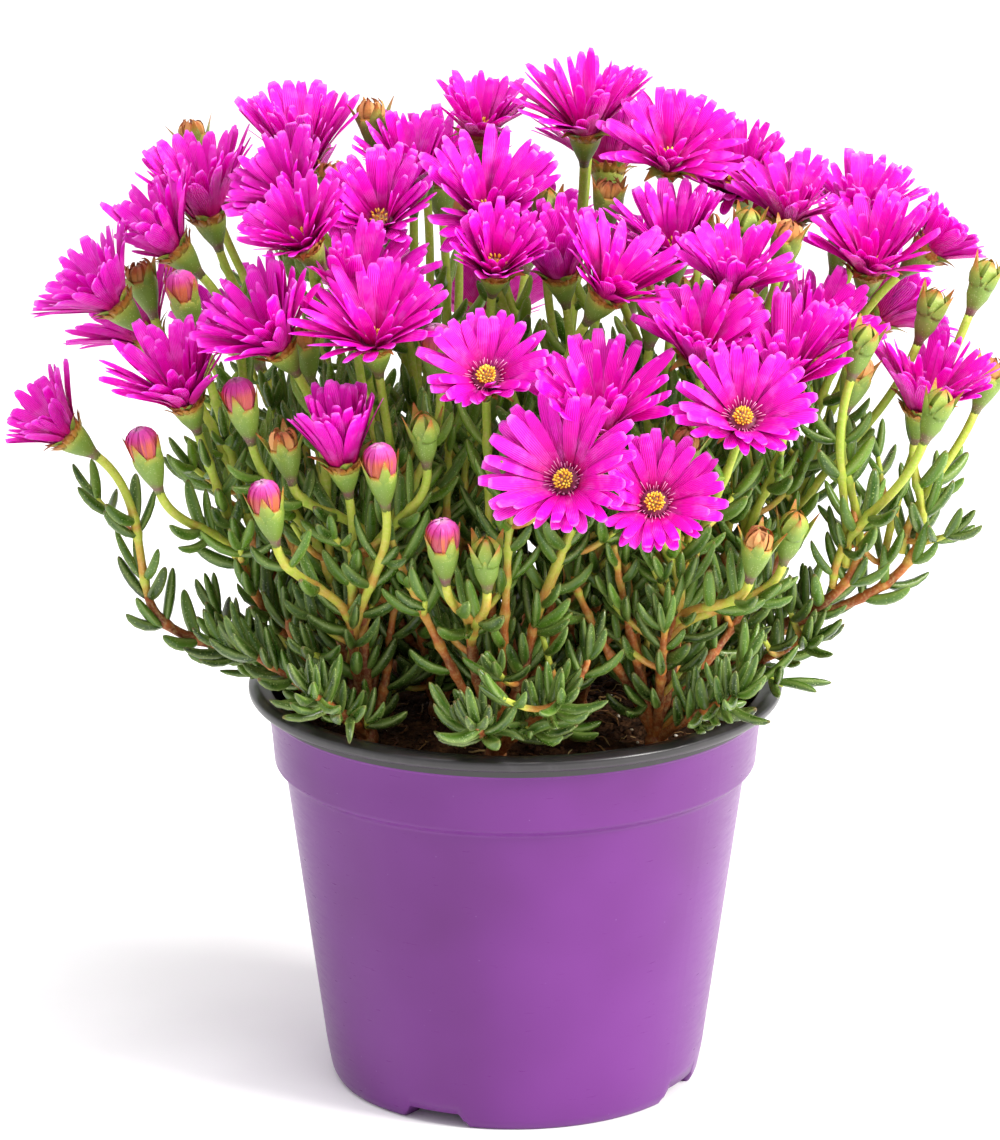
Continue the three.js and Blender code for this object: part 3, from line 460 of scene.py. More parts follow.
def growRoutes(stem):
    root = vec(*stem["foot"], growth["soilTop"])
    trunkRadius, stalkRadius = growth["trunkRadius"], growth["stalkRadius"]
    for tip in stem["shoots"]:
        tip = vec(*tip)
        outward = unit((tip - root) * vec(1, 1, 0))
        leaning, ending = unit(up + outward * growth["shootLean"]), unit(outward + up * growth["shootTipLean"])
        shoot, controls = clearRoute(root, leaning, tip, ending, growth["trunkPieces"], trunkRadius, stem["name"])
        addSticks(shoot, [trunkRadius] * len(shoot), stem["name"])
        points, isNode = withNodes(shoot, growth["shootNodes"])
        stem["limbs"].append({"path": np.array([tip, *points]), "side": -up,
                              "nodes": [i + 1 for i, here in enumerate(isNode) if here]})
        stem["curves"].append({"kind": "shoot", "controls": controls, "nodes": [1 / 3, 2 / 3]})
    for branch in stem["branches"]:
        middle = sum(head["foot"] for head in branch["heads"]) / len(branch["heads"])
        fork = vec(*branch["fork"]) if branch["fork"] else root + (middle - root) * growth["forkShare"]
        leaning = unit(up + unit((fork - root) * vec(1, 1, 0)) * growth["trunkLean"])
        onward = unit(unit(middle - fork) + up * growth["forkLift"])
        trunk, controls = clearRoute(root, leaning, fork, onward, growth["trunkPieces"], trunkRadius, stem["name"])
        addSticks(trunk, [trunkRadius] * len(trunk), stem["name"])
        stem["curves"].append({"kind": "trunk", "controls": controls, "nodes": [1 / 3, 2 / 3]})
        for order, head in enumerate(branch["heads"]):
            start = pointAlong(trunk, 1 - order * growth["forkSpacing"])
            stalk, controls = clearRoute(start, onward, head["foot"], head["axis"], growth["stalkPieces"],
                                         stalkRadius, stem["name"])
            addSticks(stalk, [stalkRadius] * len(stalk), stem["name"])
            atNodes = [growth["stalkNode"]] + [growth["forkNode"]] * (order == 0)
            points, isNode = withNodes(stalk, atNodes)
            if order == 0:
                trunkPoints, trunkIsNode = withNodes(trunk, growth["trunkNodes"])
                points, isNode = points + trunkPoints, isNode + trunkIsNode
            stem["limbs"].append({"path": np.array([*head["path"], *points]), "side": head["down"],
                                  "nodes": [i + len(head["path"]) for i, here in enumerate(isNode) if here]})
            stem["curves"].append({"kind": "stalk", "controls": controls, "nodes": [0.5]})


def openPetals(bloom, draw):
    bloom["petals"] = []
    rootHeight = growth["petalGap"] + growth["discHeight"] / 2
    for k in range(growth["petalCount"]):
        outward = aroundHead(bloom, 2 * math.pi * (k + 0.5) / growth["petalCount"])
        root = bloom["top"] + bloom["axis"] * rootHeight + outward * growth["petalRootReach"]
        widest = bloom["opening"] + draw(-growth["petalStray"], growth["petalStray"]) - k % 2 * growth["innerLift"]
        longest = bloom["length"] * draw(growth["leastPetalShare"], 1)
        found = None
        for share in growth["petalShares"]:
            opening = widest
            while opening > growth["leastOpen"] and not found:
                angle = math.radians(opening)
                reach = (bloom["axis"] * math.cos(angle) + outward * math.sin(angle)) * longest * share
                if isClear([root, root + reach], growth["petalRadius"], growth["nodeGap"], bloom["name"]):
                    found = {"opening": opening, "length": longest * share, "path": [root, root + reach]}
                opening -= growth["openStep"]
        bloom["petals"].append(found)
    for petal in bloom["petals"]:
        if petal:
            addSticks(petal["path"], [growth["petalRadius"]] * 2, bloom["name"])


def leafPath(base, growing, outward, spread, length):
    rising = unit(growing + outward * spread)
    curling = unit(rising + up * growth["leafCurl"])
    middle = base + rising * length * growth["leafBend"]
    return [base, middle, middle + curling * length * (1 - growth["leafBend"])]


def clearsPot(path):
    for i in range(1, growth["potSamples"] + 1):
        point = pointAlong(path, i / growth["potSamples"])
        radius = math.hypot(point[0], point[1])
        isByLip = growth["lipInnerReach"] < radius < growth["lipRadius"] + growth["leafRadius"] + 1
        if isByLip and point[2] < growth["potHeight"] + growth["leafRadius"] + 1:
            return False
        if radius <= growth["lipInnerReach"] and point[2] < growth["soilTop"] + growth["leafRadius"]:
            return False
    return True


def findLeaf(base, growing, outward, length, owner):
    radius = growth["leafClearRadius"]
    for share in growth["leafShares"]:
        for spread in growth["leafSpreads"]:
            leaf = leafPath(base, growing, outward, spread, length * share)
            outer = [pointAlong(leaf, growth["leafFreeFrom"]), *leaf[1:]]
            if isClear(leaf, radius, growth["nodeGap"], owner) and isClear(outer, radius, 0) and clearsPot(leaf):
                return leaf
    return None


def growLeaves(stem, draw):
    quarter = 0
    for limb in stem["limbs"]:
        tangents, sides, across = ringFrames(limb["path"], limb["side"])
        for band in limb["nodes"]:
            quarter += 1
            for k in (quarter % 4, (quarter + 2) % 4):
                angle = 2 * math.pi * (k + 0.5) / 4
                outward = sides[band] * math.cos(angle) + across[band] * math.sin(angle)
                growing = -tangents[band]
                middle = limb["path"][band] + (limb["path"][band + 1] - limb["path"][band]) * growth["leafRootShare"]
                base = middle + outward * growth["leafRootReach"]
                length = growth["leafLength"] * draw(growth["leastLeafShare"], 1)
                leaf = findLeaf(base, growing, outward, length, stem["name"])
                if leaf:
                    stem["leaves"].append({"path": leaf, "outward": outward, "isFrame": True})
                    addSticks(leaf, [growth["leafClearRadius"]] * 2 + [growth["leafTipRadius"]], stem["name"])


def growPlant():
    grown, opened = [], []
    for entry in plan:
        stem = {**entry, "limbs": [], "curves": [], "leaves": [], "branches": []}
        for branch in entry["branches"]:
            heads = []
            for values in branch["heads"]:
                head = readHead(values, entry["name"], "bloom_%02d" % (len(opened) + 1))
                if head["isBloom"]:
                    opened.append(head)
                heads.append(head)
            stem["branches"].append({"fork": branch.get("fork"), "heads": heads})
        grown.append(stem)
    for stem in grown:
        for head in [head for branch in stem["branches"] for head in branch["heads"]]:
            shapeHead(head)
            addSticks(head["path"], head["radii"], stem["name"], head["name"])
            for root, tip, outward in head["sepals"]:
                addSticks([root, tip], [growth["sepalRadius"]] * 2, stem["name"], head["name"])
            if head["isBloom"]:
                core = [head["top"] + head["axis"] * growth[key] for key in ("petalGap", "coreHeight")]
                addSticks(core, [growth["coreRadius"]] * 2, head["name"])
    for stem in grown:
        growRoutes(stem)
    draw = seededDraw(growth["leafSeed"])
    for bloom in sorted(opened, key=lambda head: head["top"][1]):
        openPetals(bloom, draw)
    for stem in grown:
        growLeaves(stem, draw)
    return grown, opened


stems, blooms = growPlant()
leafCount = sum(len(stem["leaves"]) for stem in stems)
print("plant grown:", len(stems), "stems,", len(blooms), "blooms,", leafCount, "leaves")


# Nursery pot

potLook = {
    "height": 132, "lipRadius": 85, "collarRadius": 79, "collarDrop": 28, "wallTopRadius": 73.4, "footRadius": 59,
    "wall": 1.6, "platter": 30, "channelRadius": 50, "channel": 5, "notchAt": [-116, -26, 64, 154],
    "notchHalf": 12, "notchTopHalf": 8.5, "notchHeight": 4.8, "segments": 180, "drainRadius": 4, "drainCircle": 41,
    "notchBlend": [-0.15, 0, 0.15], "footTop": [1.6, 10.5], "drains": 6, "drainSides": 32, "outOfRound": 0.12,
}

# Polypropylene, injection moulded: a satin skin with soft flow marks and fine handling scratches
mouldedPurple, tree, shader, tone, place = startMaterial(
    "moulded purple polypropylene", 0.32, 1.49, Specular_IOR_Level=0.3)
flow = addNoise(tree, place, 70, 3.0, 0.45)
flowColour = addRamp(tree, flow, (0.3, "#5C2069"), (0.5, "#642574"), (0.72, "#6B2B7C"))
stretched = addNode(tree, "Mapping", {"Vector": place, "Scale": (1.0, 1.0, 9.0)})
scuff = addNoise(tree, stretched.outputs[0], 9, 8.0, 0.7)
scuffed = addRamp(tree, scuff, (0.6, 0.0), (0.74, 1.0))
onEdge = addMaths(tree, "MULTIPLY", scuffed, tone[2])  # scuffs gather on the steps
worn = addMix(tree, onEdge, flowColour, "#A57FB2")
speck = addCells(tree, place, 7)
dust = addRamp(tree, speck, (0.015, 0.2), (0.04, 0.0))
dusty = addMix(tree, dust, worn, "#B79CC0")
gloss = addRange(tree, scuff, 0.3, 0.8, 0.26, 0.42)
tree.links.new(gloss, shader.inputs["Roughness"])
orangePeel = addNoise(tree, place, 1.6, 2.0)
finishMaterial(tree, shader, dusty, orangePeel, 0.12, 0.08)

# The same plastic with recycled black in it: inside, underneath and on the lip, with pale rubs along the lip
mouldedCharcoal, tree, shader, tone, place = startMaterial(
    "moulded charcoal polypropylene", 0.3, 1.49, Specular_IOR_Level=0.6)
grain = addNoise(tree, place, 6, 6.0, 0.65)
charcoal = addRamp(tree, grain, (0.2, "#171517"), (0.55, "#1F1C1F"), (0.85, "#3A363A"))
finishMaterial(tree, shader, charcoal, grain, 0.25, 0.15)


def roundedProfile(corners):
    points, paints = [], []
    for i, (radius, height, fillet, paint) in enumerate(corners):
        corner = vec(radius, height)
        if fillet and 0 < i < len(corners) - 1:
            before, after = vec(*corners[i - 1][:2]) - corner, vec(*corners[i + 1][:2]) - corner
            cut = min(fillet, np.linalg.norm(before) * 0.45, np.linalg.norm(after) * 0.45)
            first, last = corner + unit(before) * cut, corner + unit(after) * cut
            for t in (0, 0.33, 0.67, 1):
                points.append((1 - t) ** 2 * first + 2 * t * (1 - t) * corner + t * t * last)
                paints.append(paint)
        else:
            points.append(corner)
            paints.append(paint)
    return np.array(points), np.array(paints)


def makePot():
    look = potLook
    top, drop, wall, foot = look["height"], look["collarDrop"], look["wall"], look["footRadius"]
    collar, wallTop, lip = look["collarRadius"], look["wallTopRadius"], look["lipRadius"]
    footStep, footTop = look["footTop"]
    rise, widening = top - drop - 1 - footTop, wallTop - foot - footStep
    outer = [  # corners from the middle of the foot outward and up: radius, height, rounding and colour
        (0.01, 0, 0, 1), (look["platter"], 0, 0.6, 1), (look["platter"] + 2, look["channel"], 0.6, 1),
        (look["channelRadius"], look["channel"], 0.5, 1), (look["channelRadius"], 0, 0.5, 1),
        (foot - 1.5, 0, 0.9, 0), (foot, 2.5, 1.2, 0), (foot + footStep, footTop, 2, 0)]
    outer += [(foot + footStep + widening * t, footTop + rise * t, 0, 0) for t in (0.25, 0.5, 0.75)]
    outer += [
        (wallTop, top - drop - 1, 0.9, 0), (collar - 2.2, top - drop + 1.5, 0.9, 0),
        (collar - 1.5, top - drop + 10, 0, 0), (collar - 0.35, top - 8.6, 0.3, 0), (collar + 0.25, top - 8.1, 0.3, 0),
        (collar + 0.3, top - 4.6, 0.4, 1), (lip - 1, top - 4.6, 0.6, 1), (lip, top - 3.2, 0.7, 1),
        (lip, top - 1.4, 0.7, 1), (lip - 2.4, top, 1.1, 1), (collar - 1, top - 1, 0.7, 1)]
    inner = [
        (collar - wall, top - 6, 0.5, 1), (collar - 2.2 - wall, top - drop + 3, 0.5, 1),
        (wallTop - wall, top - drop - 1, 0.5, 1), (foot + footStep - wall, footTop, 0.5, 1),
        (foot - wall, look["channel"] + wall, 0.4, 1), (look["platter"] + 3, look["channel"] + wall, 0.4, 1),
        (look["platter"] + 1, wall, 0.4, 1), (0.01, wall, 0, 1)]
    profile, paints = roundedProfile(outer + inner)
    turns = set(np.round(np.arange(look["segments"]) * 360 / look["segments"], 4))
    for centre in look["notchAt"]:  # more edges where a notch begins and ends
        for half in (look["notchTopHalf"], look["notchHalf"]):
            for offset in (-math.degrees(half / foot), math.degrees(half / foot)):
                turns |= {round((centre + offset + extra) % 360, 4) for extra in look["notchBlend"]}
    turns = np.radians(np.array(sorted(turns)))
    radius, height = profile[:, 0][:, None], np.repeat(profile[:, 1][:, None], len(turns), 1)
    arc = np.full(len(turns), 99.0)
    for centre in look["notchAt"]:
        apart = np.abs((turns - math.radians(centre) + math.pi) % (2 * math.pi) - math.pi) * foot
        arc = np.minimum(arc, apart)
    slant = look["notchHalf"] - look["notchTopHalf"]
    notch = np.clip((look["notchHalf"] - arc) / slant, 0, 1) * look["notchHeight"]
    isFoot = (radius > look["channelRadius"] - 0.6) & (height < look["notchHeight"])
    height = np.where(isFoot, np.maximum(height, notch[None]), height)
    # A thin pot is never quite round
    wave = look["outOfRound"] * np.sin(3 * turns + 0.7) * np.clip(height / top - 0.3, 0, 1)
    rings = np.stack([(radius + wave) * np.cos(turns), (radius + wave) * np.sin(turns), height], -1)
    nearStep = np.exp(-((height - (top - drop)) / 1.6) ** 2) + 0.6 * np.exp(-((height - 9) / 3) ** 2)
    nearStep = nearStep + 0.5 * np.exp(-((height - (top - 7)) / 1.5) ** 2)
    tone = np.stack([np.full_like(height, 0.5), height / top, np.clip(nearStep + 0.1, 0, 1)], -1)
    heap = newHeap()
    addSleeve(heap, rings, tone, paints[1:])
    pot = makePiece("nursery_pot", heap, [mouldedPurple, mouldedCharcoal], "pot")
    cutters = newHeap()
    for k in range(look["drains"]):
        turn = math.radians(360 / look["drains"] * k)
        x, y = look["drainCircle"] * math.cos(turn), look["drainCircle"] * math.sin(turn)
        path = np.array([[x, y, look["channel"] - 2], [x, y, look["channel"] + 4]])
        addTube(cutters, path, [look["drainRadius"]] * 2, vec(0.5, 0, 0), 0, look["drainSides"])
    cutterObject = bpy.data.objects.new("drain_holes", newMesh("drain holes", cutters))
    holes = pot.modifiers.new("drain holes", "BOOLEAN")
    holes.object = cutterObject
    holes.operation = "DIFFERENCE"
    bpy.context.scene.collection.objects.link(cutterObject)
    drilled = bpy.data.meshes.new_from_object(pot.evaluated_get(bpy.context.evaluated_depsgraph_get()))
    pot.modifiers.clear()
    pot.data = drilled
    bpy.data.objects.remove(cutterObject)


makePot()
print("pot made")


# Potting soil

soilLook = {
    "edgeHeight": 120, "middleHeight": 123.5, "radius": 75, "topRadius": 75.9, "fibreRadius": 73, "seed": 97,
    "rings": 46, "around": 190, "crumbs": 900, "fibres": 200, "grains": 70, "fibreParts": 6, "pebbleSides": 6,
    "pebbleLevels": [[-0.7, 0.75], [0.1, 1.0], [0.75, 0.6]],  # height and reach of each ring, for a size of 1
    "lumps": [[2.2, 14, 3.1], [1.1, 4.2, 8.7], [0.55, 1.7, 1.3]],  # height, width and a place in the noise
    "side": [[0.5, 1.9], [30.6, 1.9], [32.6, 6.9], [56.9, 6.9], [58.6, 10.7], [71.4, 103.2], [74.8, 107.3],
             [76.1, 118.6]],  # radius and height, up the inside of the pot
    "tufts": [[-20, -72, 60, 0.25], [56, -58, 26, 0.8]],  # x, y, threads and shade
}

# Peat compost, milled and damp: dark and crumbly, with paler dry crumbs on the peaks
milledPeat, tree, shader, tone, place = startMaterial("milled peat compost", 0.92, 1.4, Specular_IOR_Level=0.2)
clod = addNoise(tree, place, 5, 9.0, 0.7)
peatColour = addRamp(tree, clod, (0.3, "#1C120B"), (0.46, "#382417"), (0.58, "#573A25"), (0.72, "#7C5836"))
grit = addCells(tree, place, 1.4)
roughly = addMaths(tree, "ADD", clod, grit)
finishMaterial(tree, shader, peatColour, roughly, 0.8, 1.0)

# Dry straw and root fibre left whole in the milling: golden to red-brown threads, dull
driedStraw, tree, shader, tone, place = startMaterial("dried straw fibre", 0.7, 1.45)
strawColour = addRamp(tree, tone[0], (0.0, "#4E2A16"), (0.4, "#7A4F2A"), (0.75, "#A07C48"), (1.0, "#BBA470"))
stalky = addNoise(tree, place, 0.8, 2.0)
finishMaterial(tree, shader, strawColour, stalky, 0.4, 0.2)

# Perlite and pale grit: expanded glass grains, chalky and rough
crushedPerlite, tree, shader, tone, place = startMaterial("crushed perlite grit", 0.8, 1.5)
gritColour = addRamp(tree, tone[0], (0.0, "#8D7B62"), (0.5, "#C9BBA2"), (1.0, "#EFE9DC"))
pitted = addNoise(tree, place, 0.6, 3.0)
finishMaterial(tree, shader, gritColour, pitted, 0.6, 0.3)


def soilHeight(x, y):
    look = soilLook
    share = min(math.hypot(x, y) / look["radius"], 1)
    height = look["middleHeight"] + (look["edgeHeight"] - look["middleHeight"]) * share
    for tall, wide, spot in look["lumps"]:
        height += tall * noise.noise(Vector((x / wide, y / wide, spot)))
    return height


def addPebble(heap, centre, size, draw, paint, shade):
    sides, tall = soilLook["pebbleSides"], size * draw(0.5, 0.9)
    turns = 2 * math.pi * np.arange(sides) / sides + draw(0, 6)
    rings = []
    for level, reach in soilLook["pebbleLevels"]:
        wide = size * reach * np.array([draw(0.75, 1.2) for turn in turns])
        ring = [wide * np.cos(turns), wide * np.sin(turns), np.full(sides, level * tall)]
        rings.append(np.stack(ring, -1) + centre)
    addSleeve(heap, np.array(rings), vec(shade, 0.5, 0.5), paint, centre - up * tall, centre + up * tall)


def layFibre(heap, x, y, lift, shade, draw):
    heading, length, curl = draw(0, 2 * math.pi), draw(4, 14), draw(-0.55, 0.55)
    thick, parts, path = draw(0.1, 0.36), soilLook["fibreParts"], []
    for i in range(parts + 1):
        if math.hypot(x, y) > soilLook["radius"]:
            break
        arch = lift * math.sin(math.pi * i / parts) * draw(0.5, 1.2)
        path.append(vec(x, y, soilHeight(x, y) + thick * 0.5 + arch))
        heading += curl + draw(-0.35, 0.35)
        x, y = x + math.cos(heading) * length / parts, y + math.sin(heading) * length / parts
    if len(path) > 2:
        radii = [thick] * (len(path) - 1) + [thick * 0.5]
        addTube(heap, np.array(path), radii, vec(min(max(shade, 0), 1), 0.5, 0.5), 1, 5)


def makeSoil():
    look = soilLook
    draw = seededDraw(look["seed"])
    turns = 2 * math.pi * np.arange(look["around"]) / look["around"]
    rings = [np.stack([r * np.cos(turns), r * np.sin(turns), np.full(len(turns), z)], -1) for r, z in look["side"]]
    for step in range(look["rings"]):
        radius = look["topRadius"] * (1 - step / look["rings"]) ** 0.92
        x, y = radius * np.cos(turns), radius * np.sin(turns)
        calm = min(1, step / 2) * min(1, radius / 3)
        flat = look["middleHeight"] + (look["edgeHeight"] - look["middleHeight"]) * radius / look["radius"]
        z = [flat + (soilHeight(a, b) - flat) * calm for a, b in zip(x, y)]
        rings.append(np.stack([x, y, z], -1))
    heap = newHeap()
    addSleeve(heap, np.array(rings), vec(0.5, 0.5, 0.5), 0)
    for k in range(look["crumbs"] + look["grains"]):
        isGrain = k >= look["crumbs"]
        radius, turn = look["radius"] * math.sqrt(draw(0.02, 1)), draw(0, 2 * math.pi)
        x, y = radius * math.cos(turn), radius * math.sin(turn)
        size = draw(0.35, 0.8) if isGrain else draw(0.5, 1.7)
        addPebble(heap, vec(x, y, soilHeight(x, y) + size * 0.25), size, draw, 2 if isGrain else 0, draw(0, 1))
    for k in range(look["fibres"]):
        radius, turn = look["fibreRadius"] * math.sqrt(draw(0.05, 1)), draw(0, 2 * math.pi)
        layFibre(heap, radius * math.cos(turn), radius * math.sin(turn), draw(0.3, 1.2), draw(0, 1), draw)
    for x, y, count, shade in look["tufts"]:  # matted roots and straw near the front rim
        for k in range(count):
            layFibre(heap, x + draw(-12, 12), y + draw(-4, 4), draw(0.5, 3.2), shade + draw(-0.2, 0.2), draw)
    makePiece("potting_soil", heap, [milledPeat, driedStraw, crushedPerlite], "soil")


makeSoil()
print("soil made")


# Open blooms

bloomLook = {
    "outerPetals": 22, "innerPetals": 18, "closingPetals": 14, "flatNod": 46, "width": 5.0, "fullLength": 24,
    "thickness": 0.24, "seed": 5077, "turnStray": 0.22, "lostOpening": 16, "lostLength": 0.42, "leastOpening": 6,
    "closingOpening": [0.2, 0.72], "closingLength": [0.6, 0.95], "closingWidth": 0.85, "layerStep": [6, 13],
    "rootCircle": 4.1, "circleStep": 0.9, "rootDepth": [1.2, 2.0], "seatHeight": 1.5, "bendShare": [0.3, 0.42],
    "squareTips": 0.3, "taperedTips": 0.4, "twist": 28,
    "stations": [0, 0.16, 0.42, 0.68, 0.87, 0.96, 1],
    "widths": [0.28, 0.48, 0.82, 1, 0.94, 0.74, 0.4],
    "discLevels": [[-2.6, 3.2, 1.0], [-0.9, 4.5, 1.0], [0.6, 4.6, 0.8], [1.2, 4.0, 0.6], [1.2, 2.8, 0.35],
                   [1.9, 1.4, 0.1]],  # height, radius and place on the colour ramp
    "discSides": 20, "anthers": 40, "hiddenAnthers": 14, "filaments": 34, "domeRadius": 1.9,
    "goldenTurn": 2.399963,  # the angle between one anther and the next, as in most flower heads
}

# Ray petals of an ice plant: thin wet-looking ribbons with fine lengthwise grooves. They shine a little along
# the grooves and light comes through them. Deep crimson at the root, hot magenta along the blade, paler at the tip,
# with painted shade, a darker crimson, in the troughs of the grooves.
groovedPetal, tree, shader, tone, place = startMaterial(
    "grooved magenta petal", 0.45, 1.42, Subsurface_Weight=0.3, Subsurface_Scale=0.0016, Specular_IOR_Level=0.3)
shader.inputs["Subsurface Radius"].default_value = (1.0, 0.25, 0.7)
blade = addRamp(
    tree, tone[1], (0.0, "#7A0222"), (0.2, "#B60464"), (0.46, "#E206AE"), (0.82, "#F60CD0"), (1.0, "#FE66EA"))
coolBlade = addRamp(
    tree, tone[1], (0.0, "#72033A"), (0.22, "#AA0578"), (0.5, "#E00ABE"), (0.82, "#EE28DC"), (1.0, "#FFA0F4"))
hue = addRange(tree, tone[0], 0.25, 1.0, 0.0, 0.85)
twoTone = addMix(tree, hue, blade, coolBlade)
grooves = addMaths(tree, "MULTIPLY", tone[2], 46.0)
wobble = addNoise(tree, place, 6, 3.0)
grooves = addMaths(tree, "MULTIPLY_ADD", wobble, 1.6, grooves)
grooves = addMaths(tree, "SINE", grooves)
# Painted shade: the troughs of the grooves, where the bump is lowest, are darkened towards crimson
grooveTroughShade = addRange(tree, grooves, -1.0, -0.1, 0.4, 0.0)
cloudy = addNoise(tree, place, 5, 3.0)
paler = addRange(tree, cloudy, 0.5, 0.8, 0.0, 0.4)
twoTone = addMix(tree, paler, twoTone, "#FF7CEC")
grooveShadedColour = addMix(tree, grooveTroughShade, twoTone, "#9A0250")
finishMaterial(tree, shader, grooveShadedColour, grooves, 0.42, 0.16)

# Anthers: pollen sacs, powdery yellow with an orange side
powderyAnther, tree, shader, tone, place = startMaterial("powdery yellow anther", 0.75, 1.4, Subsurface_Weight=0.15)
shader.inputs["Subsurface Scale"].default_value = 0.0005
pollen = addNoise(tree, place, 0.5, 2.0)
dusted = addMix(tree, tone[0], linear("#D8A020"), "#F6E05A")
finishMaterial(tree, shader, dusted, pollen, 0.6, 0.1)

# Filaments: hair-thin pale pink threads, white at the tip
paleFilament, tree, shader, tone, place = startMaterial("pale filament", 0.5, 1.4)
threads = addRamp(tree, tone[1], (0.0, "#8A0F50"), (0.5, "#C8458F"), (1.0, "#E9A2CC"))
fine = addNoise(tree, place, 0.4, 1.0)
finishMaterial(tree, shader, threads, fine, 0.3, 0.05)

# The ring inside the petals: dark maroon, moist tissue
maroonDisc, tree, shader, tone, place = startMaterial("maroon flower disc", 0.5, 1.42)
eyeColour = addRamp(tree, tone[1], (0.0, "#B8A03A"), (0.35, "#7A1740"), (0.8, "#5A0E3C"), (1.0, "#8A1566"))
ribbed = addNoise(tree, place, 0.7, 3.0)
finishMaterial(tree, shader, eyeColour, ribbed, 0.5, 0.2)


def addBlade(heap, path, side, widths, thickness, cup, shade, paint, twist=0.0, ripe=None):
    tangents, sides, across = ringFrames(path, side)
    share = np.linspace(0, 1, len(path))[:, None]
    turned = math.radians(twist) * share
    sides, across = sides * np.cos(turned) + across * np.sin(turned), across * np.cos(turned) - sides * np.sin(turned)
    reach, lift = vec(1, 0.4, -0.4, -1, -0.4, 0.4), vec(0, 1, 1, 0, -1, -1)
    widths = np.asarray(widths, float)[:, None]
    thick = np.minimum(thickness, widths * 0.35)
    height = lift[None] * thick / 2 + cup * widths * (reach ** 2)[None]
    rings = path[:, None] + (widths * reach)[..., None] * sides[:, None] + height[..., None] * across[:, None]
    along = np.repeat(share, 6, 1)
    if ripe:  # its own range of tones from root to tip
        along = ripe[0] + (ripe[1] - ripe[0]) * along ** 1.6
    tone = np.stack([np.full_like(along, shade), along, np.repeat((reach / 2 + 0.5)[None], len(path), 0)], -1)
    creases = np.array([1, 0, 0, 2, 0, 0])
    addSleeve(heap, rings, tone, paint, creases=creases)


def petalAt(bloom, turn):
    opening, length = 0.0, 0.0
    spot = turn / (2 * math.pi) * growth["petalCount"] - 0.5
    for k in (math.floor(spot), math.floor(spot) + 1):
        share = 1 - abs(spot - k)
        petal = bloom["petals"][k % growth["petalCount"]]
        lifted = growth["innerLift"] * 0.5 * (k % 2)
        opening += share * (petal["opening"] + lifted if petal else bloomLook["lostOpening"])
        length += share * (petal["length"] if petal else bloom["length"] * bloomLook["lostLength"])
    return opening, length


